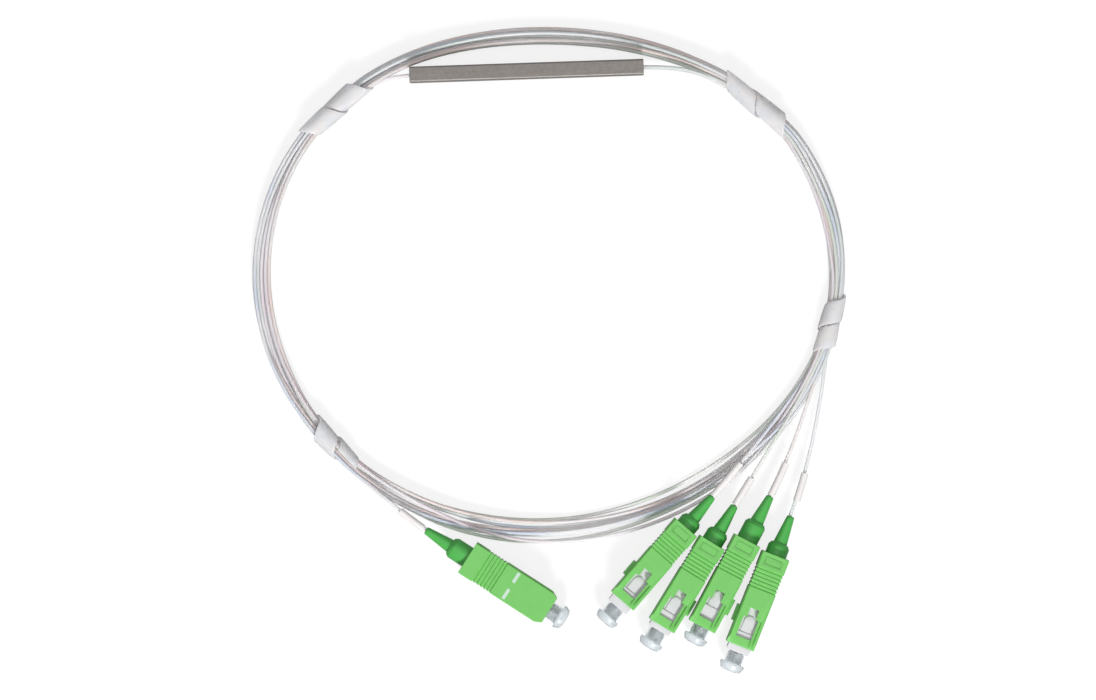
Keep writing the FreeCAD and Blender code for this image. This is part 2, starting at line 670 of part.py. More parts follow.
# ---- tails ----
def route_edges(points):
    """Straight runs joined by tangent arcs, each as large as its two runs allow."""
    edges, radii = [], []
    at = points[0]
    for before, corner, after in zip(points, points[1:], points[2:]):
        back, onward = before - corner, after - corner
        shorter = min(back.Length, onward.Length)
        half_turn = (math.pi - back.getAngle(onward)) / 2
        setback = 0.45 * shorter
        radius = setback / math.tan(half_turn)
        radii.append(radius)
        back.normalize()
        onward.normalize()
        start, end = corner + back * setback, corner + onward * setback
        inward = back + onward
        inward.normalize()
        middle = corner + inward * (radius / math.cos(half_turn) - radius)
        edges.append(Part.LineSegment(at, start).toShape())
        edges.append(Part.Arc(start, middle, end).toShape())
        at = end
    edges.append(Part.LineSegment(at, points[-1]).toShape())
    return edges, radii


def swept(edges, diameter):
    """A round solid along edges that follow on from each other."""
    path = Part.Wire(edges)
    start = edges[0].valueAt(edges[0].FirstParameter)
    heading = edges[0].tangentAt(edges[0].FirstParameter)
    circle = Part.Wire(Part.makeCircle(diameter / 2, start, heading))
    return Part.Solid(path.makePipeShell([circle], True, False))


def make_tail(name, points):
    """One stretch of tail, with its volume held against its section times its length."""
    points = [FreeCAD.Vector(*point) for point in points]
    edges, radii = route_edges(points)
    tail = swept(edges, TAIL_DIAMETER)
    length = sum(edge.Length for edge in edges)
    share = tail.Volume / (math.pi * TAIL_DIAMETER**2 / 4 * length)
    shown = ", ".join(f"{radius:.0f}" for radius in radii)
    print(f"{name}: {length:.1f} mm long, arcs of radius {shown} mm, volume ratio {share:.4f}")
    return tail, edges


def cut_out(edges, low, high):
    """The part of a path between two distances along it."""
    kept, done = [], 0.0
    for edge in edges:
        start, end = max(low - done, 0), min(high - done, edge.Length)
        if start < end - 1e-6:
            first = edge.getParameterByLength(start)
            last = edge.getParameterByLength(end)
            kept.append(edge.Curve.toShape(first, last))
        done += edge.Length
    return kept


def tail_route(plug, leaves, last_corner):
    """A tail's route from its plug back to the bundle."""
    in_plug = [on_plug(plug, TAIL_END), on_plug(plug, last_corner)]
    return [tuple(point) for point in in_plug] + list(reversed(leaves))


def make_tail_ends():
    """The five stretches from the bundle to the plugs, and the marker sleeves on them."""
    leaves = [INPUT_LEAVES] + OUTPUT_LEAVES
    for plug, leave, sleeve in zip(PLUGS, leaves, SLEEVES):
        name = plug["name"]
        corner = INPUT_LAST_CORNER if name == "input" else OUTPUT_LAST_CORNER
        tail, edges = make_tail(name, tail_route(plug, leave, corner))
        export("tail_" + name, tail)
        start = BOOT_TIP - TAIL_END + sleeve["gap"]
        path = cut_out(edges, start, start + sleeve["length"])
        outside = swept(path, SLEEVE_DIAMETER)
        inside = swept(cut_out(edges, start - 1, start + sleeve["length"] + 1), TAIL_DIAMETER + 2 * SLEEVE_FIT)
        export("marker_sleeve_" + name, outside.cut(inside))


def make_tail_starts():
    """The stretches from the tube's ends to the bundle."""
    inner = MODULE_LENGTH / 2 - TAIL_IN_SEAL
    input_points = [(-inner, 0, MODULE_MIDDLE_HEIGHT)] + INPUT_JOINS
    export("tail_start_input", make_tail("input start", input_points)[0])
    starts = tail_heights(OUTPUT_COUNT, MODULE_MIDDLE_HEIGHT, TAIL_STACK_PITCH)
    tails = []
    for n, height in enumerate(starts):
        points = [(inner, 0, height)]
        for place, pitch in zip(OUTPUTS_JOIN, (TAIL_STACK_PITCH, OUTPUTS_JOIN_PITCH)):
            points.append((place[0], place[1], tail_heights(OUTPUT_COUNT, place[2], pitch)[n]))
        tails.append(make_tail(f"output start {n + 1}", points)[0])
    export("tail_starts_output", Part.makeCompound(tails))


# ---- ring and wraps ----
def ring_radius(angle):
    """The distance of the ring's line from its centre, at an angle in degrees."""
    a = math.radians(angle)
    oval = RING_RADIUS + RING_OVAL * math.cos(2 * a) + RING_LEAN * math.sin(a)
    return oval + RING_SQUARE_SIN * math.sin(3 * a) + RING_SQUARE_COS * math.cos(3 * a)


def ring_point(angle, shift=0.0, height=0.0):
    """A point beside the ring's line."""
    a = math.radians(angle)
    reach = ring_radius(angle) + shift
    x = RING_CENTRE[0] + reach * math.cos(a)
    y = RING_CENTRE[1] + reach * math.sin(a)
    return FreeCAD.Vector(x, y, height)


def ring_heading(angle):
    """The way the ring's line runs, anticlockwise."""
    heading = ring_point(angle + 0.5) - ring_point(angle - 0.5)
    heading.normalize()
    return heading


def wrap_centre(wrap):
    """The middle of a wrap's axis, set in from the ring's line so that the curve is shared out."""
    reach = wrap["length"] / 2
    ahead = ring_point(wrap["angle"] + math.degrees(reach / ring_radius(wrap["angle"])))
    behind = ring_point(wrap["angle"] - math.degrees(reach / ring_radius(wrap["angle"])))
    bow = ((ahead + behind) * 0.5 - ring_point(wrap["angle"])).Length
    return ring_point(wrap["angle"], -bow / 2, WRAP_DIAMETER / 2)


def coil_stations():
    """All cross-sections round the ring in order of angle; inside a wrap they follow its axis."""
    stations = [(angle % 360, *rest) for angle, *rest in COIL_STATIONS]
    for wrap in WRAPS:
        centre, heading = wrap_centre(wrap), ring_heading(wrap["angle"])
        reach = wrap["length"] / 2 + 0.5
        for distance in (-reach, -reach / 2, 0.0, reach / 2, reach):
            point = centre + heading * distance
            x, y = point.x - RING_CENTRE[0], point.y - RING_CENTRE[1]
            angle = math.degrees(math.atan2(y, x)) % 360
            shift = math.hypot(x, y) - ring_radius(angle)
            stations.append((angle, shift, BUNDLE_IN_WRAP, BUNDLE_IN_WRAP, WRAP_DIAMETER / 2))
    return sorted(stations)


def coil_section(angle, shift, width, height, middle):
    """One rounded cross-section of the bundle, square to the ring's line."""
    centre = ring_point(angle, shift, middle)
    outward = ring_heading(angle).cross(Z_AXIS)
    points = []
    for n in range(COIL_STATION_POINTS):
        turn = 2 * math.pi * n / COIL_STATION_POINTS
        across = math.copysign(abs(math.cos(turn)) ** COIL_SQUARENESS, math.cos(turn)) * width / 2
        up = math.copysign(abs(math.sin(turn)) ** COIL_SQUARENESS, math.sin(turn)) * height / 2
        points.append(centre + outward * across + Z_AXIS * up)
    curve = Part.BSplineCurve()
    curve.interpolate(Points=points, PeriodicFlag=True)
    return Part.Wire(curve.toShape())


def make_coil():
    """The outer shape of the coiled bundle, one closed ring made of a stretch from wrap to wrap."""
    stations = coil_stations()
    middles = [wrap["angle"] % 360 for wrap in WRAPS]
    joints = [min(range(len(stations)), key=lambda n: abs(stations[n][0] - a)) for a in middles]
    joints.sort()
    stretches = []
    for first, last in zip(joints, joints[1:] + [joints[0] + len(stations)]):
        stretch = [stations[n % len(stations)] for n in range(first, last + 1)]
        stretches.append(Part.makeLoft([coil_section(*station) for station in stretch], True))
    return stretches[0].fuse(stretches[1:])


def make_wrap(wrap):
    """One piece of spiral wrap: a strip wound round its axis and cut off square."""
    radius = (WRAP_DIAMETER - WRAP_WALL) / 2
    strip = wrap["pitch"] - WRAP_SLIT
    whole = wrap["length"] + 2 * wrap["pitch"]
    helix = Part.Wire(Part.makeHelix(wrap["pitch"], whole, radius))
    inner, outer = WRAP_BORE / 2, WRAP_DIAMETER / 2
    corners = [(inner, -strip / 2), (outer, -strip / 2), (outer, strip / 2), (inner, strip / 2)]
    points = [FreeCAD.Vector(x, 0, z) for x, z in corners]
    profile = Part.makePolygon(points + points[:1])
    wound = Part.Solid(helix.makePipeShell([profile], True, True))
    wound.translate(FreeCAD.Vector(0, 0, -whole / 2))
    wound.rotate(FreeCAD.Vector(0, 0, 0), Z_AXIS, wrap["start"])
    half = wrap["length"] / 2
    piece = wound.common(block((-9, 9), (-9, 9), (-half, half)))
    heading = ring_heading(wrap["angle"])
    turn = FreeCAD.Rotation(Z_AXIS, heading)
    piece.Placement = FreeCAD.Placement(wrap_centre(wrap), turn)
    return piece


def main():
    os.makedirs("parts", exist_ok=True)
    make_module()
    make_plugs()
    make_tail_starts()
    make_tail_ends()
    export("coiled_tails", make_coil())
    for wrap in WRAPS:
        export(wrap["name"], make_wrap(wrap))


main()
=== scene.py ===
"""Looks of a 1 x 4 fibre splitter in a steel tube, with its tails coiled in a flat wrapped ring.

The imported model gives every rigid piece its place. This script lays the five tails as cords, gives
the moulded and drawn pieces their edges, dresses every visible surface, and sets a plain studio.
All lengths in this file are in millimetres, measured in the model's own frame, until they are
handed to Blender.
"""

from __future__ import annotations

import logging
import math
from contextlib import contextmanager
from dataclasses import dataclass, field
from enum import Enum
from functools import cache
from typing import Any, Callable, Iterable, Iterator, Sequence

import bpy
import numpy as np
from mathutils import Matrix, Vector

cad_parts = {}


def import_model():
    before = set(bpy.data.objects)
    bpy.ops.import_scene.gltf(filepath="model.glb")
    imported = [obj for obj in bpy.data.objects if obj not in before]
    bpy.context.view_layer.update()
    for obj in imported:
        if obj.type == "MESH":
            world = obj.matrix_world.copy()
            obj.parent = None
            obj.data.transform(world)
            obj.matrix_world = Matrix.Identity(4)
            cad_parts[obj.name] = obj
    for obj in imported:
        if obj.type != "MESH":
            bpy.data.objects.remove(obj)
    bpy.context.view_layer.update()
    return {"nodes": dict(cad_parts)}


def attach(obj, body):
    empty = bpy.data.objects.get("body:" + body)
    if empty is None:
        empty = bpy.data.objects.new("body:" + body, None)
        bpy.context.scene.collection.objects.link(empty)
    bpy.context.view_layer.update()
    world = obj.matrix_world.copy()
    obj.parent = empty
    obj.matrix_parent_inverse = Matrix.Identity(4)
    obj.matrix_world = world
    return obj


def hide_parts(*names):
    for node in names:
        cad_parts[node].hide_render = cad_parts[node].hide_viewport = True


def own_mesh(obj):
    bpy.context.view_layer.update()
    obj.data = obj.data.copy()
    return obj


LOG = logging.getLogger("fibre_splitter")
MM = 0.001
MERGE = 0.002
CORNER = 0.35
PLUG_HEIGHT = 4.55
WHITE = (1, 1, 1, 1)
Pair = tuple[float, float]
Point = tuple[float, float, float]
Section = tuple[float, float, float, float, float]
Array = np.ndarray
Obj = bpy.types.Object
Material = bpy.types.Material
Tree = bpy.types.NodeTree
Socket = bpy.types.NodeSocket


# Small helpers


def linear(hex_colour: str) -> tuple[float, float, float, float]:
    """Turn an sRGB colour written as hex into the linear values that shaders take.

    Args:
        hex_colour: Six hex digits, red first.

    Returns:
        Linear red, green and blue, and an alpha of 1.
    """
    channels = []
    for start in (0, 2, 4):
        value = int(hex_colour[start : start + 2], 16) / 255
        channels.append(value / 12.92 if value <= 0.04045 else ((value + 0.055) / 1.055) ** 2.4)
    return (*channels, 1.0)


def add_node(
    tree: Tree, kind: str, inputs: dict[str | int, Any] | None = None, **settings: Any
) -> bpy.types.Node:
    """Add one node with its settings, and give each named socket a value or a link.

    Args:
        tree: The node tree that takes the node.
        kind: The node's type name.
        inputs: Socket name or number to a value, or to the output socket it is linked from.
        **settings: Properties of the node itself.

    Returns:
        The new node.
    """
    node = tree.nodes.new(kind)
    for name, value in settings.items():
        setattr(node, name, value)
    for name, value in (inputs or {}).items():
        if isinstance(value, Socket):
            tree.links.new(value, node.inputs[name])
        else:
            node.inputs[name].default_value = value
    return node


def blank_material(name: str) -> tuple[Material, Tree]:
    """Make a material with an empty node tree.

    Args:
        name: Its name.

    Returns:
        The material and the tree.
    """
    material = bpy.data.materials.new(name)
    material.use_nodes = True
    material.node_tree.nodes.clear()
    return material, material.node_tree


def dress(obj: Obj, material: Material) -> None:
    """Give an object one material all over."""
    obj.data.materials.clear()
    obj.data.materials.append(material)


def add_object(name: str, data: bpy.types.ID) -> Obj:
    """Put a new object with a mesh, curve, camera or light into the scene."""
    obj = bpy.data.objects.new(name, data)
    bpy.context.scene.collection.objects.link(obj)
    return obj


def add_primitive(add: Callable[..., Any], name: str, **sizes: Any) -> Obj:
    """Add one named primitive, and leave it as the only selected object.

    Args:
        add: The operator that adds it.
        name: The object's name.
        **sizes: What the operator takes.

    Returns:
        The new object.
    """
    bpy.ops.object.select_all(action="DESELECT")
    add(**sizes)
    obj = bpy.context.active_object
    obj.name = name
    return obj


@contextmanager
def editing(obj: Obj) -> Iterator[None]:
    """Hold one object alone in edit mode, with all of it selected at the start.

    Args:
        obj: The object.
    """
    bpy.ops.object.select_all(action="DESELECT")
    obj.select_set(True)
    bpy.context.view_layer.objects.active = obj
    bpy.ops.object.mode_set(mode="EDIT")
    bpy.ops.mesh.select_all(action="SELECT")
    yield
    bpy.ops.object.mode_set(mode="OBJECT")


def put(obj: Obj, matrix: Matrix) -> None:
    """Bring a piece drawn in millimetres to its place, and settle it there."""
    obj.matrix_world = Matrix.Scale(MM, 4) @ matrix
    bpy.ops.object.transform_apply(location=True, rotation=True, scale=True)


def axes(forward: Vector, up: Vector, origin: Sequence[float]) -> Matrix:
    """Set up axes at a place.

    Args:
        forward: The first axis.
        up: The third axis.
        origin: Where they stand.

    Returns:
        The matrix from them to the model's frame.
    """
    matrix = Matrix((forward, up.cross(forward), up)).transposed().to_4x4()
    matrix.translation = Vector(origin)
    return matrix


def round_edges(obj: Obj, width: float, sharp_deg: float, **more: Any) -> None:
    """Round the sharp edges of the active object.

    Args:
        obj: The object.
        width: Width of the rounded edge.
        sharp_deg: The least angle at a sharp edge, in degrees.
        **more: Other settings of the bevel.
    """
    bevel = obj.modifiers.new("edge", "BEVEL")
    bevel.width = width * MM
    bevel.segments = 2
    bevel.limit_method = "ANGLE"
    bevel.angle_limit = math.radians(sharp_deg)
    for name, value in more.items():
        setattr(bevel, name, value)
    bpy.ops.object.modifier_apply(modifier=bevel.name)


def chamfer(obj: Obj, edges: Sequence[int]) -> None:
    """Cut a straight chamfer along some of an object's edges.

    Args:
        obj: The object.
        edges: The edges' numbers.
    """
    with editing(obj):
        bpy.ops.mesh.select_mode(type="EDGE")
        bpy.ops.mesh.select_all(action="DESELECT")
    for index in edges:
        obj.data.edges[index].select = True
    bpy.ops.object.mode_set(mode="EDIT")
    bpy.ops.mesh.bevel(offset=CORNER * MM, segments=1, affect="EDGES", clamp_overlap=True)
    bpy.ops.mesh.select_mode(type="VERT")
    bpy.ops.object.mode_set(mode="OBJECT")


def edged_copy(
    source: Obj,
    name: str,
    edge: float,
    merge_flats: bool = False,
    corners: Callable[[bpy.types.Mesh], list[int]] | None = None,
) -> Obj:
    """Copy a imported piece, clean its faces and round its sharp edges a little.

    Args:
        source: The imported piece, which is left as it is.
        name: The copy's name.
        edge: Width of the rounded edge.
        merge_flats: Whether each flat becomes one face, which suits flats without holes.
        corners: Finds the edges, if any, that take a wider chamfer first.

    Returns:
        The finished copy.
    """
    obj = add_object(name, source.data.copy())
    with editing(obj):
        bpy.ops.mesh.remove_doubles(threshold=MERGE * MM)
        if merge_flats:
            bpy.ops.mesh.dissolve_limited(angle_limit=math.radians(1.0))
    if corners:
        chamfer(obj, corners(obj.data))
    bpy.ops.object.shade_smooth_by_angle(angle=math.radians(35))
    if edge:
        round_edges(obj, edge, 28, miter_outer="MITER_ARC", harden_normals=True)
    return obj


# Finishes


class FinishTree:
    """The node tree of one finish, and the steps that finishes have in common."""

    def __init__(self, name: str) -> None:
        """Start a material of that name, with the object's own coordinates."""
        self.material, self.tree = blank_material(name)
        self.where = add_node(self.tree, "ShaderNodeTexCoord").outputs["Object"]

    def noise(self, size: float, detail: float, roughness: float = 0.5) -> Socket:
        """Add cloudy noise with patches of one size, and finer layers over them."""
        look = {"Scale": 1 / (size * MM), "Detail": detail, "Roughness": roughness}
        inputs = {"Vector": self.where, **look}
        return add_node(self.tree, "ShaderNodeTexNoise", inputs).outputs["Fac"]

    def spread(self, value: Socket, to: Pair, over: Pair = (0.0, 1.0)) -> Socket:
        """Spread a part of a value's range over a new range."""
        inputs = {0: value, 1: over[0], 2: over[1], 3: to[0], 4: to[1]}
        return add_node(self.tree, "ShaderNodeMapRange", inputs).outputs[0]

    def blend(self, share: Socket, first: str | Socket, second: str) -> Socket:
        """Mix a share of the second colour into the first, which may be mixed already."""
        base = linear(first) if isinstance(first, str) else first
        inputs = {0: share, 6: base, 7: linear(second)}
        return add_node(self.tree, "ShaderNodeMix", inputs, data_type="RGBA").outputs[2]

    def surface(
        self, colour: Socket, roughness: Socket, relief: Socket, bump: Pair, **more: float
    ) -> Material:
        """Close the tree with its shader.

        Args:
            colour: The surface's colour.
            roughness: Its roughness.
            relief: The height of its texture.
            bump: How much of the texture shows, and its depth.
            **more: Other inputs, their words joined by underscores.

        Returns:
            The finished material.
        """
        inputs = {"Strength": bump[0], "Distance": bump[1] * MM, "Height": relief}
        normal = add_node(self.tree, "ShaderNodeBump", inputs).outputs[0]
        inputs = {"Base Color": colour, "Roughness": roughness, "Normal": normal}
        inputs.update({name.replace("_", " "): value for name, value in more.items()})
        shader = add_node(self.tree, "ShaderNodeBsdfPrincipled", inputs)
        add_node(self.tree, "ShaderNodeOutputMaterial", {"Surface": shader.outputs[0]})
        return self.material


@dataclass(frozen=True)
class MouldedPlastic:
    """Injection-moulded plastic: even colour with faint flow mottling and a fine spark texture.

    The eye reads it as plastic by the soft sheen that breaks up over a texture of about 0.2 mm.
    """

    name: str
    colour: str
    deep_colour: str
    roughness: float = 0.42
    mottle: float = 3.0
    grit: float = 0.18
    bump: float = 0.12

    def make(self) -> Material:
        """Build the material.

        Returns:
            The finished material.
        """
        tree = FinishTree(self.name)
        colour = tree.blend(tree.noise(self.mottle, 3.0, 0.6), self.colour, self.deep_colour)
        grit = tree.noise(self.grit, 2.0)
        rough = tree.spread(grit, (self.roughness - 0.06, self.roughness + 0.08))
        return tree.surface(colour, rough, grit, (self.bump, 0.02), IOR=1.5)


@dataclass(frozen=True)
class MilkyExtrusion:
    """Natural polyethylene or a soft tail jacket: extruded, half clear and a little milky.

    Faint streaks run along the piece and the light goes some way in, so edges look greyer than
    the middle.
    """

    name: str
    colour: str
    tint: str
    shade: str
    roughness: float = 0.3
    patch: float = 22.0
    streak: float = 0.5
    clear: float = 0.35
    sheen: float = 0.5
    bend: float = 1.5

    def make(self) -> Material:
        """Build the material.

        Returns:
            The finished material.
        """
        tree = FinishTree(self.name)
        patch = tree.spread(tree.noise(self.patch, 1.0), (0.0, 1.0), (0.38, 0.62))
        tinted = tree.blend(patch, self.colour, self.tint)
        streak = tree.noise(self.streak, 2.0)
        colour = tree.blend(tree.spread(streak, (0.0, 0.5), (0.35, 0.8)), tinted, self.shade)
        rough = tree.spread(streak, (self.roughness - 0.08, self.roughness + 0.1))
        own = {"Transmission_Weight": self.clear, "Specular_IOR_Level": self.sheen}
        return tree.surface(colour, rough, streak, (0.15, 0.02), IOR=self.bend, **own)


@dataclass(frozen=True)
class DrawnSteel:
    """Steel drawn through a die and left matt: a grey bloom of fine mottling, and faint lines.

    The eye reads it as bare metal by the dull sheen that the mottling breaks up.
    """

    name: str
    colour: str
    dark_colour: str
    roughness: float = 0.5
    line: float = 0.3
    run: float = 9.0
    bloom: float = 0.9
    lines: float = 0.25
    metallic: float = 0.7

    def make(self) -> Material:
        """Build the material.

        Returns:
            The finished material.
        """
        tree = FinishTree(self.name)
        run, line = 1 / (self.run * MM), 1 / (self.line * MM)
        stretch = {"Vector": tree.where, "Scale": (run, line, line)}
        along = add_node(tree.tree, "ShaderNodeMapping", stretch).outputs[0]
        inputs = {"Vector": along, "Scale": 1.0, "Detail": 2.0}
        drawn = add_node(tree.tree, "ShaderNodeTexNoise", inputs).outputs["Fac"]
        bloom = tree.noise(self.bloom, 5.0, 0.7)
        inputs = {0: self.lines, 2: bloom, 3: drawn}
        both = add_node(tree.tree, "ShaderNodeMix", inputs, data_type="FLOAT").outputs[0]
        level = tree.spread(both, (0.0, 1.0), (0.36, 0.62))
        colour = tree.blend(level, self.dark_colour, self.colour)
        rough = tree.spread(bloom, (self.roughness - 0.08, self.roughness + 0.1))
        return tree.surface(colour, rough, both, (0.12, 0.01), Metallic=self.metallic)


def jacket(tail: str, colour: str, tint: str, shade: str) -> MilkyExtrusion:
    """The soft jacket of one tail, in its own tints."""
    name = f"tail jacket, {tail}"
    return MilkyExtrusion(name, colour, tint, shade, 0.4, clear=0.3, sheen=0.4, bend=1.25)


class Finish(Enum):
    """Every finish on the splitter, by what it is on."""

    TUBE = DrawnSteel("drawn steel, tube", "8D8884", "7B7672")
    SEAL = MouldedPlastic("cast resin, end seals", "3A3836", "2A2827", 0.6)
    SHELL = MouldedPlastic("moulded plastic, light green shells", "74C462", "6ABB59", 0.36)
    BOOT = MouldedPlastic("moulded rubber, green boots", "4DB24E", "44A446")
    FRAME = MouldedPlastic("moulded plastic, white frames", "D9D8DB", "CCCBCF", 0.38)
    MARK = MouldedPlastic("pad-printed white marks", "CADFD1", "BDD5C6", 0.5)
    CAP = MilkyExtrusion(
        "moulded polyethylene, dust caps", "E4E9EC", "D8DFE3", "CFD7DC", clear=0.7, patch=4.0
    )
    WRAP = MilkyExtrusion(
        "natural polyethylene, spiral wrap",
        "FBF8F7",
        "F2F3F6",
        "EAEBEF",
        clear=0.4,
        patch=4.0,
        bend=1.25,
    )
    SLEEVE = MouldedPlastic("extruded white sleeves", "EFEBEA", "E6E2E1", 0.4)
    CERAMIC = MouldedPlastic("ground zirconia, ferrules", "F3F0E8", "ECE8DE", 0.15, bump=0.03)
    SPRING = DrawnSteel("spring wire", "C4C6C8", "A6A8AA", 0.3, 0.05)
    REAR = DrawnSteel("nickel-plated brass", "C9CACB", "B3B4B6", 0.3, 0.05)
    SILICA = MilkyExtrusion("polished silica", "E8ECEE", "DDE4E6", "D5DDE0", 0.1, clear=0.8)
    TAIL_INPUT = jacket("input", "F6F4F6", "F3E8EE", "E2DEE4")
    TAIL_1 = jacket("output 1", "F7F6F6", "E2E9F6", "DCDEE8")
    TAIL_2 = jacket("output 2", "F5F5F3", "E8F0E6", "DFE2DC")
    TAIL_3 = jacket("output 3", "F8F5F5", "F5E6E2", "E6DEDC")
    TAIL_4 = jacket("output 4", "F6F6F8", "E8EEEC", "DEE2E6")

    @cache
    def material(self) -> Material:
        """The finish's material, built the first time that it is asked for."""
        return self.value.make()


# The ring of tails

# The bundle's room: the angle round the ring, the shift outwards, the width, the height, and the
# height of its middle. The rows run clockwise from the right end of the loose bottom.
SECTIONS = (
    (-25.0, 0.1, 5.2, 3.0, 2.10),
    (-33.0, -0.2, 6.2, 3.3, 1.90),
    (-42.0, -0.6, 7.4, 3.1, 1.75),
    (-52.0, -0.5, 8.4, 3.0, 1.55),
    (-62.0, -0.3, 9.0, 3.0, 1.50),
    (-74.0, 0.0, 9.0, 3.0, 1.50),
    (-86.0, 0.0, 8.8, 3.0, 1.50),
    (-98.0, 0.0, 8.2, 3.0, 1.50),
    (-110.0, 0.0, 6.8, 3.0, 1.55),
    (-122.0, 0.0, 5.2, 2.8, 1.80),
    (-133.0, 0.0, 4.2, 3.4, 2.50),
    (-158.5, 0.0, 4.1, 3.5, 2.50),
    (-169.0, 0.0, 4.6, 3.2, 1.80),
    (180.0, 0.0, 4.8, 3.1, 1.65),
    (169.0, 0.0, 4.7, 3.2, 1.75),
    (158.0, 0.0, 4.2, 3.4, 2.30),
    (126.5, 0.2, 3.9, 3.5, 2.50),
    (119.0, 0.5, 3.6, 3.5, 2.10),
    (108.0, 0.2, 4.2, 3.2, 1.80),
    (96.0, 0.0, 4.8, 3.0, 1.65),
    (84.0, 0.0, 4.9, 3.0, 1.65),
    (72.0, 0.1, 4.7, 3.1, 1.80),
    (61.0, 0.0, 4.4, 3.4, 2.20),
    (54.5, -0.3, 4.3, 3.6, 2.40),
    (24.0, 0.0, 4.4, 3.4, 2.30),
    (12.0, 0.0, 4.8, 3.2, 1.75),
    (4.0, 0.0, 4.3, 3.4, 2.30),
)

# At the bottom nothing ties the bundle, and it opens into loose groups. For each tail and turn: how
# far it lies outside the ring's line where the groups open at the left and close at the right.
BOTTOM_LANES = {
    ("output_2", 1): (-3.0, -3.6),
    ("output_3", 0): (-2.7, -1.0),
    ("output_4", 0): (-2.3, -0.7),
    ("output_1", 1): (-0.6, -0.5),
    ("output_3", 1): (-0.4, -0.1),
    ("input", 2): (-0.2, 0.1),
    ("output_1", 0): (0.0, 0.3),
    ("output_4", 1): (0.1, 0.5),
    ("output_2", 0): (2.8, 0.8),
    ("input", 1): (2.9, 3.2),
}


@dataclass(frozen=True)
class WrapPlace:
    """Where one piece of spiral wrap sits on the ring, and how its strip is wound."""

    name: str
    angle: float
    length: float
    pitch: float
    start: float
    slit: float = 0.3
    tip: float = 2.0


@dataclass(frozen=True)
class Tail:
    """One tail: its way round the ring and the free ends of its route."""

    name: str
    finish: Finish
    first: int
    last: int
    phase: float
    drift: float
    start_lane: float
    end_lane: float
    start: tuple[Point, ...]
    leave: tuple[Point, ...]

    @property
    def step(self) -> int:
        """The way round: 1 for anticlockwise, -1 for clockwise."""
        return 1 if self.last > self.first else -1


@dataclass(frozen=True)
class Passes:
    """Every pass of a tail by a station: whose, which, and the stations from the tail's ends."""

    who: Array
    station: Array
    done: Array
    left: Array


@dataclass(frozen=True)
class Room:
    """The room that strands' middle lines have at each pass, as halves about a middle place."""

    shift: Array
    wide: Array
    middle: Array
    high: Array
    square: Array


@dataclass(frozen=True)
class Stage:
    """One stage of settling the strands: its rounds, and how strongly each round acts.

    A strand is smoothed, pulled to its lane, let fall, and pushed off its neighbours.
    """

    rounds: int
    smooth: float
    pull: float
    fall: float
    push: float


STAGES = (
    Stage(600, 0.30, 0.030, 0.008, 0.15),
    Stage(900, 0.15, 0.035, 0.003, 0.25),
    Stage(700, 0.05, 0.010, 0.001, 0.30),
    Stage(300, 0.01, 0.000, 0.000, 0.30),
)


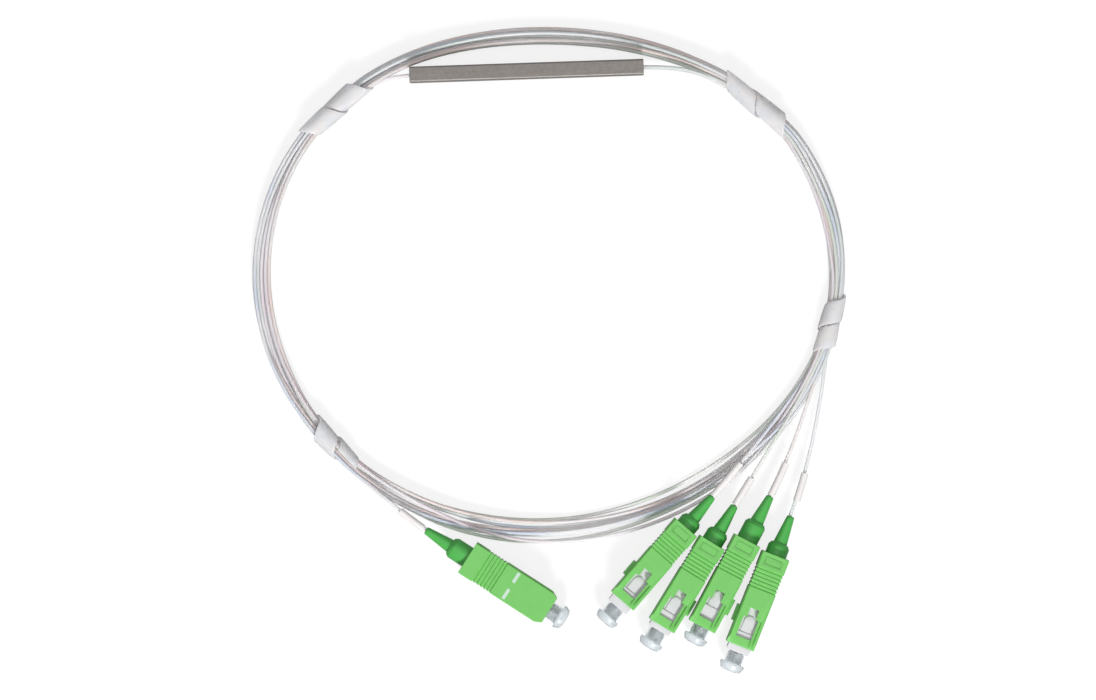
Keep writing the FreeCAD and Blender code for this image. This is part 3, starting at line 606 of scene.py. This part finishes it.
@dataclass
class TailRing:
    """The flat oval ring: its line, the bundle's room on it, and where each strand lies.

    Every tail passes each station of the ring once a turn. The strands start in lanes that drift
    slowly across the bundle, and are then pushed apart until they lie beside and on each other.
    """

    centre: Pair = (3.65, -55.03)
    radius: float = 68.73
    oval: float = 5.06
    lean: float = 1.35
    square_sin: float = 1.01
    square_cos: float = 0.41
    per_turn: int = 72
    strand: float = 0.9
    room_in_wrap: float = 3.9
    wrap_height: float = 2.9
    wraps: tuple[WrapPlace, ...] = (
        WrapPlace("wrap_1", 138.4, 18.0, 9.0, 200.0),
        WrapPlace("wrap_2", 39.2, 18.5, 9.8, 150.0),
        WrapPlace("wrap_3", -9.6, 12.5, 6.6, 120.0, slit=0.4),
        WrapPlace("wrap_4", -145.2, 14.0, 7.8, 290.0, slit=1.0, tip=1.6),
    )
    sections: tuple[Section, ...] = SECTIONS
    bottom_lanes: dict[tuple[str, int], Pair] = field(default_factory=BOTTOM_LANES.copy)
    # Where the loose bottom starts and ends, over how many degrees its lanes take hold and let go,
    # and from where, and over how many degrees, the first lane changes to the second.
    bottom_angles: Pair = (-118.0, -29.0)
    bottom_fades: Pair = (14.0, 12.0)
    bottom_change: Pair = (-88.0, 26.0)
    end_stations: int = 10
    # The first guess: the part of the width that is used, and a wave in height.
    first_spread: float = 0.95
    wave_height: float = 0.5
    wave_by_phase: float = 1.7
    wave_start: float = 0.2
    wave_by_turn: float = 0.29
    # The bundle is round where a wrap ties it, and grows squarer away from the wrap.
    tied_beyond: float = 3.0
    round_power: float = 2.0
    square_growth: float = 6.0
    corner_power: float = 4.0
    box_power: float = 5.0
    least_half_height: float = 0.8
    # The air kept between strands and over the floor, and the weight of half-way places.
    strand_air: float = 0.04
    floor_air: float = 0.01
    between_weight: float = 0.4

    def reach(self, angle: Any) -> Any:
        """Distance from the centre to the ring's line at one or more angles in degrees."""
        a = np.radians(angle)
        near = self.radius + (self.oval * np.cos(2 * a) + self.lean * np.sin(a))
        return near + self.square_sin * np.sin(3 * a) + self.square_cos * np.cos(3 * a)

    def point(self, angle: float, shift: float = 0.0) -> Array:
        """Find the point that lies a shift outside the ring's line, seen from above."""
        a, reach = math.radians(angle), float(self.reach(angle)) + shift
        x, y = self.centre
        return np.array([x + reach * math.cos(a), y + reach * math.sin(a)])

    def heading(self, angle: float) -> Array:
        """The way the ring's line runs, anticlockwise."""
        way = self.point(angle + 0.5) - self.point(angle - 0.5)
        return way / np.linalg.norm(way)

    def wrap_axis(self, wrap: WrapPlace) -> tuple[Array, Array]:
        """Find a wrap's axis, half-way between the ring's arc and its chord.

        Args:
            wrap: The wrap.

        Returns:
            The axis's middle and heading.
        """
        turn = math.degrees(wrap.length / 2 / float(self.reach(wrap.angle)))
        chord = (self.point(wrap.angle + turn) + self.point(wrap.angle - turn)) / 2
        bow = float(np.linalg.norm(chord - self.point(wrap.angle)))
        return self.point(wrap.angle, -bow / 2), self.heading(wrap.angle)

    def wrap_sections(self, wrap: WrapPlace) -> list[Section]:
        """Find the bundle's room along a wrap's axis.

        Args:
            wrap: The wrap.

        Returns:
            The room at five places.
        """
        middle, way = self.wrap_axis(wrap)
        found = []
        half = wrap.length / 2
        for distance in (-half - 0.5, -half / 2, 0.0, half / 2, half + 0.5):
            offset = middle + way * distance - np.array(self.centre)
            angle = math.degrees(math.atan2(offset[1], offset[0]))
            shift = float(np.hypot(*offset)) - float(self.reach(angle))
            found.append((angle, shift, *(self.room_in_wrap,) * 2, self.wrap_height))
        return found

    def room(self, angles: Array) -> Room:
        """Find the bundle's room.

        Args:
            angles: Angles round the ring, in degrees.

        Returns:
            The room, with one value for each angle.
        """
        every = list(self.sections)
        for wrap in self.wraps:
            every += self.wrap_sections(wrap)
        table = np.array(sorted((angle % 360, *rest) for angle, *rest in every))
        where = np.concatenate([table[:, 0] - 360, table[:, 0], table[:, 0] + 360])
        shift, width, height, middle = (
            np.interp(angles % 360, where, np.tile(table[:, k], 3)) for k in range(1, 5)
        )
        near = np.full(len(angles), np.inf)
        for wrap in self.wraps:
            reach = float(self.reach(wrap.angle))
            turn = math.degrees((wrap.length / 2 + self.tied_beyond) / reach)
            near = np.minimum(near, np.abs((angles - wrap.angle + 180) % 360 - 180) / turn)
        tied = near < 1
        high = np.maximum(height / 2 - self.strand / 2, self.least_half_height)
        middle = np.where(tied, self.wrap_height, np.maximum(middle, self.strand / 2 + high))
        squarer = np.minimum(self.box_power, self.round_power + self.square_growth * (near - 1))
        square = np.where(tied, self.round_power, squarer)
        return Room(shift, (width - self.strand) / 2, middle, high, square)

    def lanes(self, tails: Sequence[Tail]) -> dict[str, list[Point]]:
        """Lay every tail's turns beside and on each other.

        Args:
            tails: The tails, with their first and last station and how they drift.

        Returns:
            For each tail, the control points of its turns, in order along it.
        """
        rows = [
            (n, j, abs(j - tail.first), abs(tail.last - j))
            for n, tail in enumerate(tails)
            for j in range(tail.first, tail.last + tail.step, tail.step)
        ]
        passes = Passes(*(np.array(column) for column in zip(*rows)))
        every = np.arange(len(rows))
        before = np.where(passes.done > 0, every - 1, every)
        after = np.where(passes.left > 0, every + 1, every)
        inner = (passes.done > 0) & (passes.left > 0)
        angle = passes.station * 360.0 / self.per_turn
        room = self.room(angle)
        home = self._home_lanes(tails, passes, room)
        phase = np.array([tails[n].phase for n in passes.who])
        wave = self.wave_by_phase * phase + self.wave_start
        wave = wave + self.wave_by_turn * passes.done / self.per_turn
        across = room.shift + room.wide * home * self.first_spread
        up = room.middle + room.high * self.wave_height * np.sin(math.tau * wave)
        meets = self._meetings(passes)
        for stage in STAGES:
            for _ in range(stage.rounds):
                bend_across = np.where(inner, (across[before] + across[after]) / 2 - across, 0)
                bend_up = np.where(inner, (up[before] + up[after]) / 2 - up, 0)
                off_lane = room.shift + room.wide * home - across
                across = across + stage.smooth * bend_across + stage.pull * off_lane
                up = up + stage.smooth * bend_up - stage.fall
                for first, second, share in meets:
                    self._push_apart(across, up, first, second, stage.push * share)
                across, up = self._keep_in_room(across, up, room)
        reach = self.reach(angle) + across
        turn = np.radians(angle)
        x, y = self.centre[0] + reach * np.cos(turn), self.centre[1] + reach * np.sin(turn)
        found: dict[str, list[Point]] = {}
        for n, tail in enumerate(tails):
            mine = np.flatnonzero(passes.who == n)
            found[tail.name] = [(float(x[i]), float(y[i]), float(up[i])) for i in mine]
        return found

    def _home_lanes(self, tails: Sequence[Tail], passes: Passes, room: Room) -> Array:
        """Find the lane that each pass of each tail leans to.

        Args:
            tails: The tails.
            passes: Their passes.
            room: The room at each pass.

        Returns:
            The lanes, from -1 inside to 1 outside.
        """
        first, last = self.bottom_angles
        hold, let_go = self.bottom_fades
        change, degrees = self.bottom_change
        home = np.zeros(len(passes.who))
        for i, (n, j) in enumerate(zip(passes.who, passes.station)):
            tail = tails[n]
            lane = math.sin(math.tau * (tail.phase + tail.drift * passes.done[i] / self.per_turn))
            angle = j * 360.0 / self.per_turn
            folded = (angle + 180) % 360 - 180
            if first < folded < last:
                turn = abs(round((angle - folded) / 360))
                weight = min(1.0, (folded - first) / hold, (last - folded) / let_go)
                changed = min(1.0, max(0.0, (folded - change) / degrees))
                come, go = self.bottom_lanes[tail.name, turn]
                kept = (come + (go - come) * changed - room.shift[i]) / room.wide[i]
                lane = lane * (1 - weight) + kept * weight
            ends = ((passes.done[i], tail.start_lane), (passes.left[i], tail.end_lane))
            for stations, own in ends:
                weight = max(0.0, 1 - stations / self.end_stations)
                lane = lane * (1 - weight) + own * weight
            home[i] = lane
        return home

    def _keep_in_room(self, across: Array, up: Array, room: Room) -> tuple[Array, Array]:
        """Bring strands back that have left the bundle's room: round in a wrap, a box elsewhere.

        Args:
            across: How far outside the ring's line each pass lies.
            up: How high each pass lies.
            room: The room at each pass.

        Returns:
            Both again.
        """
        u, z = (across - room.shift) / room.wide, (up - room.middle) / room.high
        out = (np.abs(u) ** room.square + np.abs(z) ** room.square) ** (1 / room.square)
        back = np.where((out > 1) & (room.square < self.corner_power), 1 / out, 1)
        u, z = np.clip(u * back, -1, 1), np.clip(z * back, -1, 1)
        low = self.strand / 2 + self.floor_air
        return room.shift + u * room.wide, np.maximum(room.middle + z * room.high, low)

    def _meetings(self, passes: Passes) -> list[tuple[Array, Array, float]]:
        """List which strands lie side by side at each station and at each half-way place.

        Args:
            passes: The tails' passes.

        Returns:
            Two tables of pieces of strand: the pass at each end, and a weight.
        """
        pairs = zip(passes.who.tolist(), passes.station.tolist())
        here = {pair: i for i, pair in enumerate(pairs)}
        at, between = [[] for _ in range(self.per_turn)], [[] for _ in range(self.per_turn)]
        for (n, j), i in here.items():
            at[j % self.per_turn].append((i, i))
            if (n, j + 1) in here:
                between[j % self.per_turn].append((i, here[(n, j + 1)]))
        tables = []
        for lists, share in ((at, 1.0), (between, self.between_weight)):
            most = max(len(entries) for entries in lists)
            table = np.full((2, self.per_turn, most), -1)
            for k, entries in enumerate(lists):
                for slot, (one, other) in enumerate(entries):
                    table[:, k, slot] = one, other
            tables.append((table[0], table[1], share))
        return tables

    def _push_apart(
        self, across: Array, up: Array, first: Array, second: Array, gain: float
    ) -> None:
        """Move strands that are nearer than their own thickness away from each other, in place.

        Args:
            across: How far outside the ring's line each pass lies.
            up: How high each pass lies.
            first: The pass at one end of each piece of strand, in a row for each place.
            second: The pass at the other end.
            gain: The part of the overlap that is taken away.
        """
        used = first >= 0
        u = np.where(used, (across[first] + across[second]) / 2, 1e3)
        z = np.where(used, (up[first] + up[second]) / 2, 1e3)
        du, dz = u[:, :, None] - u[:, None, :], z[:, :, None] - z[:, None, :]
        apart = np.sqrt(du**2 + dz**2) + 1e-9
        pairs = used[:, :, None] & used[:, None, :] & ~np.eye(first.shape[1], dtype=bool)[None]
        keep = self.strand + self.strand_air
        over = np.where(pairs & (apart < keep), keep - apart, 0)
        push_u, push_z = (over * du / apart).sum(2) * gain, (over * dz / apart).sum(2) * gain
        ends = (first,) if (first == second).all() else (first, second)
        for end in ends:
            np.add.at(across, end[used], push_u[used])
            np.add.at(up, end[used], push_z[used])


@dataclass(frozen=True)
class PlugPlace:
    """Where one plug lies: the front of its inner frame, its heading and its way up."""

    name: str
    x: float
    y: float
    heading: float
    key: str
    out: float

    def matrix(self) -> Matrix:
        """Set up the plug's own axes: forward, across, and towards its key.

        Returns:
            The matrix from them to the model's frame.
        """
        a = math.radians(self.heading)
        forward = Vector((math.cos(a), math.sin(a), 0))
        left = Vector((-math.sin(a), math.cos(a), 0))
        key = {"left": left, "right": -left, "down": Vector((0, 0, -1))}[self.key]
        return axes(forward, key, (self.x, self.y, PLUG_HEIGHT))

    def behind(self, distance: float) -> Point:
        """A point on the plug's axis, behind the front of its frame."""
        return tuple(self.matrix() @ Vector((-distance, 0, 0)))


PLUGS = (
    PlugPlace("input", 0.94, -138.10, -34.8, "down", -0.3),
    PlugPlace("output_1", 18.51, -138.06, -132.8, "right", 2.1),
    PlugPlace("output_2", 28.95, -144.40, -123.4, "left", 1.45),
    PlugPlace("output_3", 40.20, -143.50, -119.8, "left", -0.3),
    PlugPlace("output_4", 48.90, -150.65, -113.6, "right", 1.75),
)


@dataclass
class Tails:
    """The five 0.9 mm tails, each one cord from the tube to its plug."""

    diameter: float = 0.9
    length: float = 1000.0
    in_plug: float = 24.5
    input_corner: float = 42.0
    output_corner: float = 46.0
    stack_pitch: float = 0.95
    join_pitch: float = 0.93
    ring: TailRing = field(default_factory=TailRing)

    def stacked(self, n: int) -> tuple[Point, ...]:
        """Find the first points of an output tail, in the stack of four that leaves the tube.

        Args:
            n: The tail's number, from 0.

        Returns:
            The points.
        """
        level = n - 1.5
        return (
            (27.0, 0.0, 3.5 + self.stack_pitch * level),
            (36.0, 0.0, 3.5 + self.stack_pitch * level),
            (44.6, -1.9, 2.7 + self.join_pitch * level),
        )

    def tails(self) -> list[Tail]:
        """Settle each tail's turns and the free ends of its route.

        Returns:
            The five tails, input first.
        """
        leave_tube = ((-27.0, 0.0, 3.5), (-34.9, 0.0, 3.5), (-41.3, -3.1, 2.9))
        leave_ring = ((-48.1, -100.8, 2.7),)
        lane = (27, 186, 0.62, 0.37, -0.8, 1.0)
        found = [Tail("input", Finish.TAIL_INPUT, *lane, leave_tube, leave_ring)]
        outputs = (
            (Finish.TAIL_1, -147, 0.05, 0.41, 0.0, ((64.2, -87.7, 2.6),)),
            (Finish.TAIL_2, -147, 0.30, -0.33, 0.5, ((66.4, -87.7, 2.9),)),
            (Finish.TAIL_3, -147, 0.48, 0.46, 0.85, ((70.8, -83.0, 2.8),)),
            (Finish.TAIL_4, -146, 0.80, -0.39, 1.0, ((74.8, -72.1, 2.9), (72.6, -87.0, 3.3))),
        )
        for n, (finish, last, phase, drift, end_lane, leave) in enumerate(outputs):
            lane = (9, last, phase, drift, -0.9, end_lane)
            found.append(Tail(f"output_{n + 1}", finish, *lane, self.stacked(n), leave))
        return found

    def build(self, carried: dict[str, list[Obj]]) -> None:
        """Args:
            carried: For each plug, the pieces that its tail carries. Not used.
        """
        tails = self.tails()
        turns = self.ring.lanes(tails)
        for tail in tails:
            plug = next(p for p in PLUGS if p.name == tail.name)
            corner = self.input_corner if tail.name == "input" else self.output_corner
            plug_end = (plug.behind(corner), plug.behind(self.in_plug))
            route = [*tail.start, *turns[tail.name], *tail.leave, *plug_end]
            cord = self.spline(f"tail_cord_{tail.name}", route)
            dress(cord, tail.finish.material())
            self.declare(cord, tail)
            LOG.info("tail %s laid through %d points", tail.name, len(route))

    def spline(self, name: str, route: Sequence[Point]) -> Obj:
        """Make one open smooth spline.

        Args:
            name: The cord's name.
            route: The spline's control points.

        Returns:
            The cord.
        """
        curve = bpy.data.curves.new(name, "CURVE")
        curve.dimensions = "3D"
        spline = curve.splines.new("NURBS")
        spline.points.add(len(route) - 1)
        for point, place in zip(spline.points, route):
            point.co = (*(value * MM for value in place), 1.0)
        spline.order_u = 3
        spline.use_endpoint_u = True
        spline.resolution_u = 4
        curve.bevel_depth = self.diameter / 2 * MM
        curve.bevel_resolution = 3
        curve.use_fill_caps = True
        return add_object(name, curve)

    def declare(self, cord: Obj, tail: Tail) -> None:
        """Attach the cord to the cable body, and hide the imported pieces that it stands for.

        Args:
            cord: The cord.
            tail: The tail that it is.
        """
        name = tail.name
        starts = "tail_start_input" if name == "input" else "tail_starts_output"
        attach(cord, "cable")
        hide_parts(f"tail_{name}", starts, "coiled_tails")


# Rigid pieces


@dataclass(frozen=True)
class PlugPiece:
    """One kind of piece that every plug has, with its finish and the body that it moves with."""

    node: str
    finish: Finish
    slot: str
    body: str = "cable"
    edge: float = 0.0
    merge_flats: bool = False
    squashes: bool = False

    def body_for(self, plug: str) -> str:
        """The body that this piece of a plug moves with."""
        return self.body if self.body == "cable" else f"{self.body}_{plug}"


PLUG_PIECES = (
    PlugPiece("shell", Finish.SHELL, "shell_green", "shell", 0.14, True),
    PlugPiece("plug_frame", Finish.FRAME, "frame_white", "cable", 0.09),
    PlugPiece("boot", Finish.BOOT, "boot_green", "cable", 0.07),
    PlugPiece("dust_cap", Finish.CAP, "cap_clear", "cap", 0.12),
    PlugPiece("marker_sleeve", Finish.SLEEVE, "sleeve_plastic", "cable", 0.05),
    PlugPiece("ferrule", Finish.CERAMIC, "ferrule_ceramic", "ferrule"),
    PlugPiece("rear_body", Finish.REAR, "rear_body_metal"),
    PlugPiece("spring", Finish.SPRING, "spring_steel", squashes=True),
)


@dataclass
class Plugs:
    """The five plugs: shells, frames, boots, caps, sleeves and what is inside them."""

    nodes: dict[str, Obj]
    mark_length: float = 2.95
    mark_width: float = 0.85
    mark_depth: float = 0.08
    mark_edge: float = 0.03
    mark_proud: float = 0.02
    mark_apart: float = 4.9
    mark_from_front: float = 11.65
    shell_depth: float = 7.4
    shell_width: float = 9.0
    spring_front: float = 9.75
    spring_rear: float = 14.18
    ferrule_travel: float = 1.0
    corner_reach: float = 0.5
    corner_least: float = 1.5
    corner_straight: float = 0.99

    def build(self) -> dict[str, list[Obj]]:
        """Edge and dress the pieces of every plug.

        Returns:
            For each plug, the pieces that go where its tail goes.
        """
        found = {}
        for place in PLUGS:
            pieces = [self.piece(kind, place) for kind in PLUG_PIECES]
            pieces += self.marks(place)
            found[place.name] = pieces
            LOG.info("plug %s: %d pieces", place.name, len(pieces))
        return found

    def piece(self, kind: PlugPiece, place: PlugPlace) -> Obj:
        """Dress one piece, on a copy with rounded edges where the kind has them.

        Args:
            kind: The kind of piece.
            place: Where the plug lies.

        Returns:
            The piece that shows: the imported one, or its copy.
        """
        name = f"{kind.node}_{place.name}"
        node = self.nodes[name]
        if not kind.edge and not kind.squashes:
            dress(node, kind.finish.material())
            return node
        corners = (lambda mesh: self.long_corners(mesh, place)) if kind.node == "shell" else None
        made = edged_copy(node, f"{name}_edged", kind.edge, kind.merge_flats, corners)
        dress(made, kind.finish.material())
        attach(made, kind.body_for(place.name))
        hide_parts(name)
        if kind.squashes:
            rear = Vector(place.behind(self.spring_rear))
            length = (Vector(place.behind(self.spring_front)) - rear).length
            way = (place.matrix().to_3x3() @ Vector((1, 0, 0))).normalized()
            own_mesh(made)
        return made

    def long_corners(self, mesh: bpy.types.Mesh, place: PlugPlace) -> list[int]:
        """Find the edges that run along the shell at its four outer corners.

        Args:
            mesh: The shell's mesh, in metres.
            place: Where the plug lies.

        Returns:
            The edges' numbers.
        """
        to_plug = place.matrix().inverted() @ Matrix.Scale(1 / MM, 4)
        own = [to_plug @ vertex.co for vertex in mesh.vertices]
        side = self.shell_width / 2 - self.corner_reach
        top = self.shell_depth / 2 - self.corner_reach
        found = []
        for edge in mesh.edges:
            ends = [own[index] for index in edge.vertices]
            run = ends[1] - ends[0]
            outside = all(abs(end.y) > side and abs(end.z) > top for end in ends)
            straight = abs(run.x) > self.corner_straight * run.length
            if outside and straight and run.length > self.corner_least:
                found.append(edge.index)
        return found

    def marks(self, place: PlugPlace) -> list[Obj]:
        """Add the two white bars printed across the shell's wide face, opposite its key.

        Args:
            place: Where the plug lies.

        Returns:
            The two bars.
        """
        made = []
        along = -self.mark_from_front - place.out
        up = -self.shell_depth / 2 + self.mark_depth / 2 - self.mark_proud
        for side, word in ((-1, "a"), (1, "b")):
            name = f"mark_{word}_{place.name}"
            mark = add_primitive(bpy.ops.mesh.primitive_cube_add, name, size=1)
            with editing(mark):
                size = (self.mark_width, self.mark_length, self.mark_depth)
                bpy.ops.transform.resize(value=size)
                bpy.ops.mesh.bevel(offset=self.mark_edge, segments=2, affect="EDGES")
            middle = Vector((along, side * self.mark_apart / 2, up))
            put(mark, place.matrix() @ Matrix.Translation(middle))
            dress(mark, Finish.MARK.material())
            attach(mark, f"shell_{place.name}")
            made.append(mark)
        return made


@dataclass
class SteelTube:
    """The steel tube, its seals and the optical parts inside."""

    nodes: dict[str, Obj]
    edge: float = 0.1

    def build(self) -> None:
        """Edge the tube, and dress it and its parts."""
        tube = edged_copy(self.nodes["steel_tube"], "steel_tube_edged", self.edge)
        dress(tube, Finish.TUBE.material())
        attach(tube, "cable")
        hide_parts("steel_tube")
        dress(self.nodes["splitter_chip"], Finish.SILICA.material())
        for end in ("input", "output"):
            dress(self.nodes[f"{end}_seal"], Finish.SEAL.material())
            dress(self.nodes[f"fibre_array_{end}"], Finish.SILICA.material())
            dress(self.nodes[f"bare_fibre_{end}"], Finish.SILICA.material())
        LOG.info("steel tube with its seals and optics")


@dataclass
class SpiralWraps:
    """The four pieces of spiral wrap: a strip each, wound round the bundle like a loose spring."""

    ring: TailRing
    wall: float = 0.5
    outer: float = 2.88
    flare: float = 0.4
    crown: float = 0.08
    edge: float = 0.12
    bands: int = 6
    steps_per_turn: int = 72

    def build(self) -> list[Obj]:
        """Wind every strip.

        Returns:
            The wraps, in the order of the ring's list.
        """
        return [self.wind(wrap) for wrap in self.ring.wraps]

    def wind(self, wrap: WrapPlace) -> Obj:
        """Make one wrap: the strip's cross-section, which a screw modifier winds round the axis.

        It flares a little towards one edge, so that each turn laps past the next as a stretched
        wrap's turns do.

        Args:
            wrap: Where the wrap sits, and how it is wound.

        Returns:
            The finished wrap.
        """
        strip = wrap.pitch - wrap.slit
        turns = (wrap.length + 2 * wrap.tip - strip) / wrap.pitch
        obj = self.section(f"{wrap.name}_wound", strip)
        screw = obj.modifiers.new("wind", "SCREW")
        screw.axis = "X"
        screw.angle = math.tau * turns
        screw.screw_offset = wrap.pitch * turns
        screw.steps = screw.render_steps = round(self.steps_per_turn * turns)
        screw.use_merge_vertices = False
        bpy.ops.object.modifier_apply(modifier=screw.name)
        with editing(obj):
            bpy.ops.transform.translate(value=(-wrap.pitch * turns / 2, 0, 0))
            bpy.ops.mesh.fill_holes(sides=0)
            bpy.ops.mesh.select_all(action="SELECT")
            bpy.ops.mesh.normals_make_consistent(inside=False)
        put(obj, self.place(wrap, turns))
        round_edges(obj, self.edge, 50)
        bpy.ops.object.shade_smooth_by_angle(angle=math.radians(40))
        dress(obj, Finish.WRAP.material())
        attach(obj, "cable")
        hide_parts(wrap.name)
        LOG.info("%s: %.2f turns of a %.1f mm strip", wrap.name, turns, strip)
        return obj

    def section(self, name: str, strip: float) -> Obj:
        """Make the strip's cross-section, a thin upright outline over the axis.

        Args:
            name: The wrap's name.
            strip: The strip's width.

        Returns:
            The outline.
        """
        cuts = {"x_subdivisions": self.bands, "y_subdivisions": 1}
        obj = add_primitive(bpy.ops.mesh.primitive_grid_add, name, size=1, **cuts)
        with editing(obj):
            bpy.ops.transform.resize(value=(strip, self.wall, 1))
            quarter = math.pi / 2
            bpy.ops.transform.rotate(value=quarter, orient_axis="X", center_override=(0, 0, 0))
            bpy.ops.mesh.select_mode(type="EDGE")
            bpy.ops.mesh.region_to_loop()
            bpy.ops.mesh.select_all(action="INVERT")
            bpy.ops.mesh.delete(type="EDGE_FACE")
            bpy.ops.mesh.select_mode(type="VERT")
        for vertex in obj.data.vertices:
            along = vertex.co.x / strip
            crowned = self.crown * (1 - 4 * along * along)
            lift = self.outer - self.wall / 2 - self.flare * (0.5 + along) + crowned
            vertex.co.z += lift - self.crown
            vertex.co.y = 0.0
        return obj

    def place(self, wrap: WrapPlace, turns: float) -> Matrix:
        """Find where the wound strip goes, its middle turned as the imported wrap's is.

        Args:
            wrap: Where the wrap sits, and how it is wound.
            turns: How many turns the strip makes.

        Returns:
            The matrix from its own axes to the model's frame.
        """
        (x, y), way = self.ring.wrap_axis(wrap)
        left = Vector((-way[1], way[0], 0))
        azimuth = math.degrees(math.atan2(way[1], way[0]))
        whole = wrap.length + 2 * wrap.pitch
        middle = wrap.start - azimuth + 180 * whole / wrap.pitch
        first = math.radians(middle - 180 * turns)
        up = Vector((0, 0, -1)) * math.cos(first) + left * math.sin(first)
        return axes(Vector((way[0], way[1], 0)), up, (x, y, self.ring.wrap_height))


# Studio


@dataclass
class Studio:
    """A pale floor, a pale world, soft lamps and a camera that looks straight down."""

    view_width: float = 281.0
    view_centre: Pair = (3.09, -71.68)
    camera_height: float = 1500.0
    focus_height: float = 4.0
    roll_deg: float = -1.94
    sensor: float = 36.0
    floor_size: float = 6000.0
    floor_takes: float = 0.24
    floor_shows: float = 0.79
    world_strength: float = 0.36
    gloss_sees: float = 0.25
    clear_sees: float = 0.86

    def build(self) -> None:
        """Set up all of the studio."""
        self.camera()
        self.floor()
        self.world()
        self.lamp("lamp_overhead", (0.0, 100.0, 2000.0), 1400.0, 8.0)
        self.lamp("lamp_front", (150.0, -1520.0, 1150.0), 400.0, 30.0)
        bpy.context.scene.view_settings.view_transform = "Standard"
        LOG.info("studio set")

    def camera(self) -> None:
        """Add the camera, level over the ring and a little turned."""
        data = bpy.data.cameras.new("camera")
        data.sensor_width = self.sensor
        data.lens = self.sensor * (self.camera_height - self.focus_height) / self.view_width
        data.clip_end = 20.0
        camera = add_object("camera", data)
        x, y = self.view_centre
        camera.location = (x * MM, y * MM, self.camera_height * MM)
        camera.rotation_euler = (0, 0, math.radians(self.roll_deg))
        bpy.context.scene.camera = camera

    def rays(self, tree: Tree, shares: dict[str, float]) -> Socket:
        """Add up the shares of the kinds that a ray is of.

        Args:
            tree: The node tree.
            shares: Each kind of ray and its share.

        Returns:
            The sum.
        """
        path = add_node(tree, "ShaderNodeLightPath")
        total: Socket | None = None
        for kind, share in shares.items():
            inputs = {0: path.outputs[kind], 1: share}
            part = add_node(tree, "ShaderNodeMath", inputs, operation="MULTIPLY").outputs[0]
            if total is not None:
                part = add_node(tree, "ShaderNodeMath", {0: total, 1: part}).outputs[0]
            total = part
        return total

    def floor(self) -> None:
        """Add the floor, which shows almost white and still takes a soft shadow."""
        side = self.floor_size * MM
        floor = add_primitive(bpy.ops.mesh.primitive_plane_add, "floor", size=side)
        material, tree = blank_material("painted board, floor")
        grey = (*(self.floor_takes,) * 3, 1.0)
        lit = add_node(tree, "ShaderNodeBsdfDiffuse", {"Color": grey})
        shares = {
            "Is Camera Ray": self.floor_shows,
            "Is Glossy Ray": self.gloss_sees,
            "Is Transmission Ray": self.clear_sees,
        }
        inputs = {"Color": WHITE, "Strength": self.rays(tree, shares)}
        glow = add_node(tree, "ShaderNodeEmission", inputs)
        both = add_node(tree, "ShaderNodeAddShader", {0: lit.outputs[0], 1: glow.outputs[0]})
        add_node(tree, "ShaderNodeOutputMaterial", {"Surface": both.outputs[0]})
        dress(floor, material)

    def world(self) -> None:
        """Light the object evenly, and show white behind it to camera, gloss and clear pieces."""
        world = bpy.data.worlds.new("studio")
        bpy.context.scene.world = world
        world.use_nodes = True
        tree = world.node_tree
        tree.nodes.clear()
        soft, white = (
            add_node(tree, "ShaderNodeBackground", {"Color": WHITE, "Strength": strength})
            for strength in (self.world_strength, 1.0)
        )
        whole = {"Is Camera Ray": 1.0, "Is Transmission Ray": 1.0}
        shares = {**whole, "Is Glossy Ray": self.gloss_sees}
        inputs = {0: self.rays(tree, shares), 1: soft.outputs[0], 2: white.outputs[0]}
        mixed = add_node(tree, "ShaderNodeMixShader", inputs)
        add_node(tree, "ShaderNodeOutputWorld", {"Surface": mixed.outputs[0]})

    def lamp(self, name: str, place: Point, size: float, power: float) -> None:
        """Add one square lamp that faces the ring's middle.

        Args:
            name: The lamp's name.
            place: Where it stands.
            size: The length of its side.
            power: Its power in watts.
        """
        data = bpy.data.lights.new(name, "AREA")
        data.shape = "SQUARE"
        data.size = size * MM
        data.energy = power
        lamp = add_object(name, data)
        lamp.location = tuple(value * MM for value in place)
        aim = Vector((self.view_centre[0] * MM, self.view_centre[1] * MM, 0)) - lamp.location
        lamp.rotation_euler = aim.to_track_quat("-Z", "Y").to_euler()


def main() -> None:
    """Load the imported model, lay the cords, dress every piece and set the studio."""
    logging.basicConfig(level=logging.INFO, format="%(name)s: %(message)s")
    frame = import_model()
    nodes = frame["nodes"]
    Studio().build()
    tails = Tails()
    wraps = SpiralWraps(tails.ring).build()
    carried = Plugs(nodes).build()
    carried["input"] += wraps
    tails.build(carried)
    SteelTube(nodes).build()


if __name__ == "__main__":
    main()
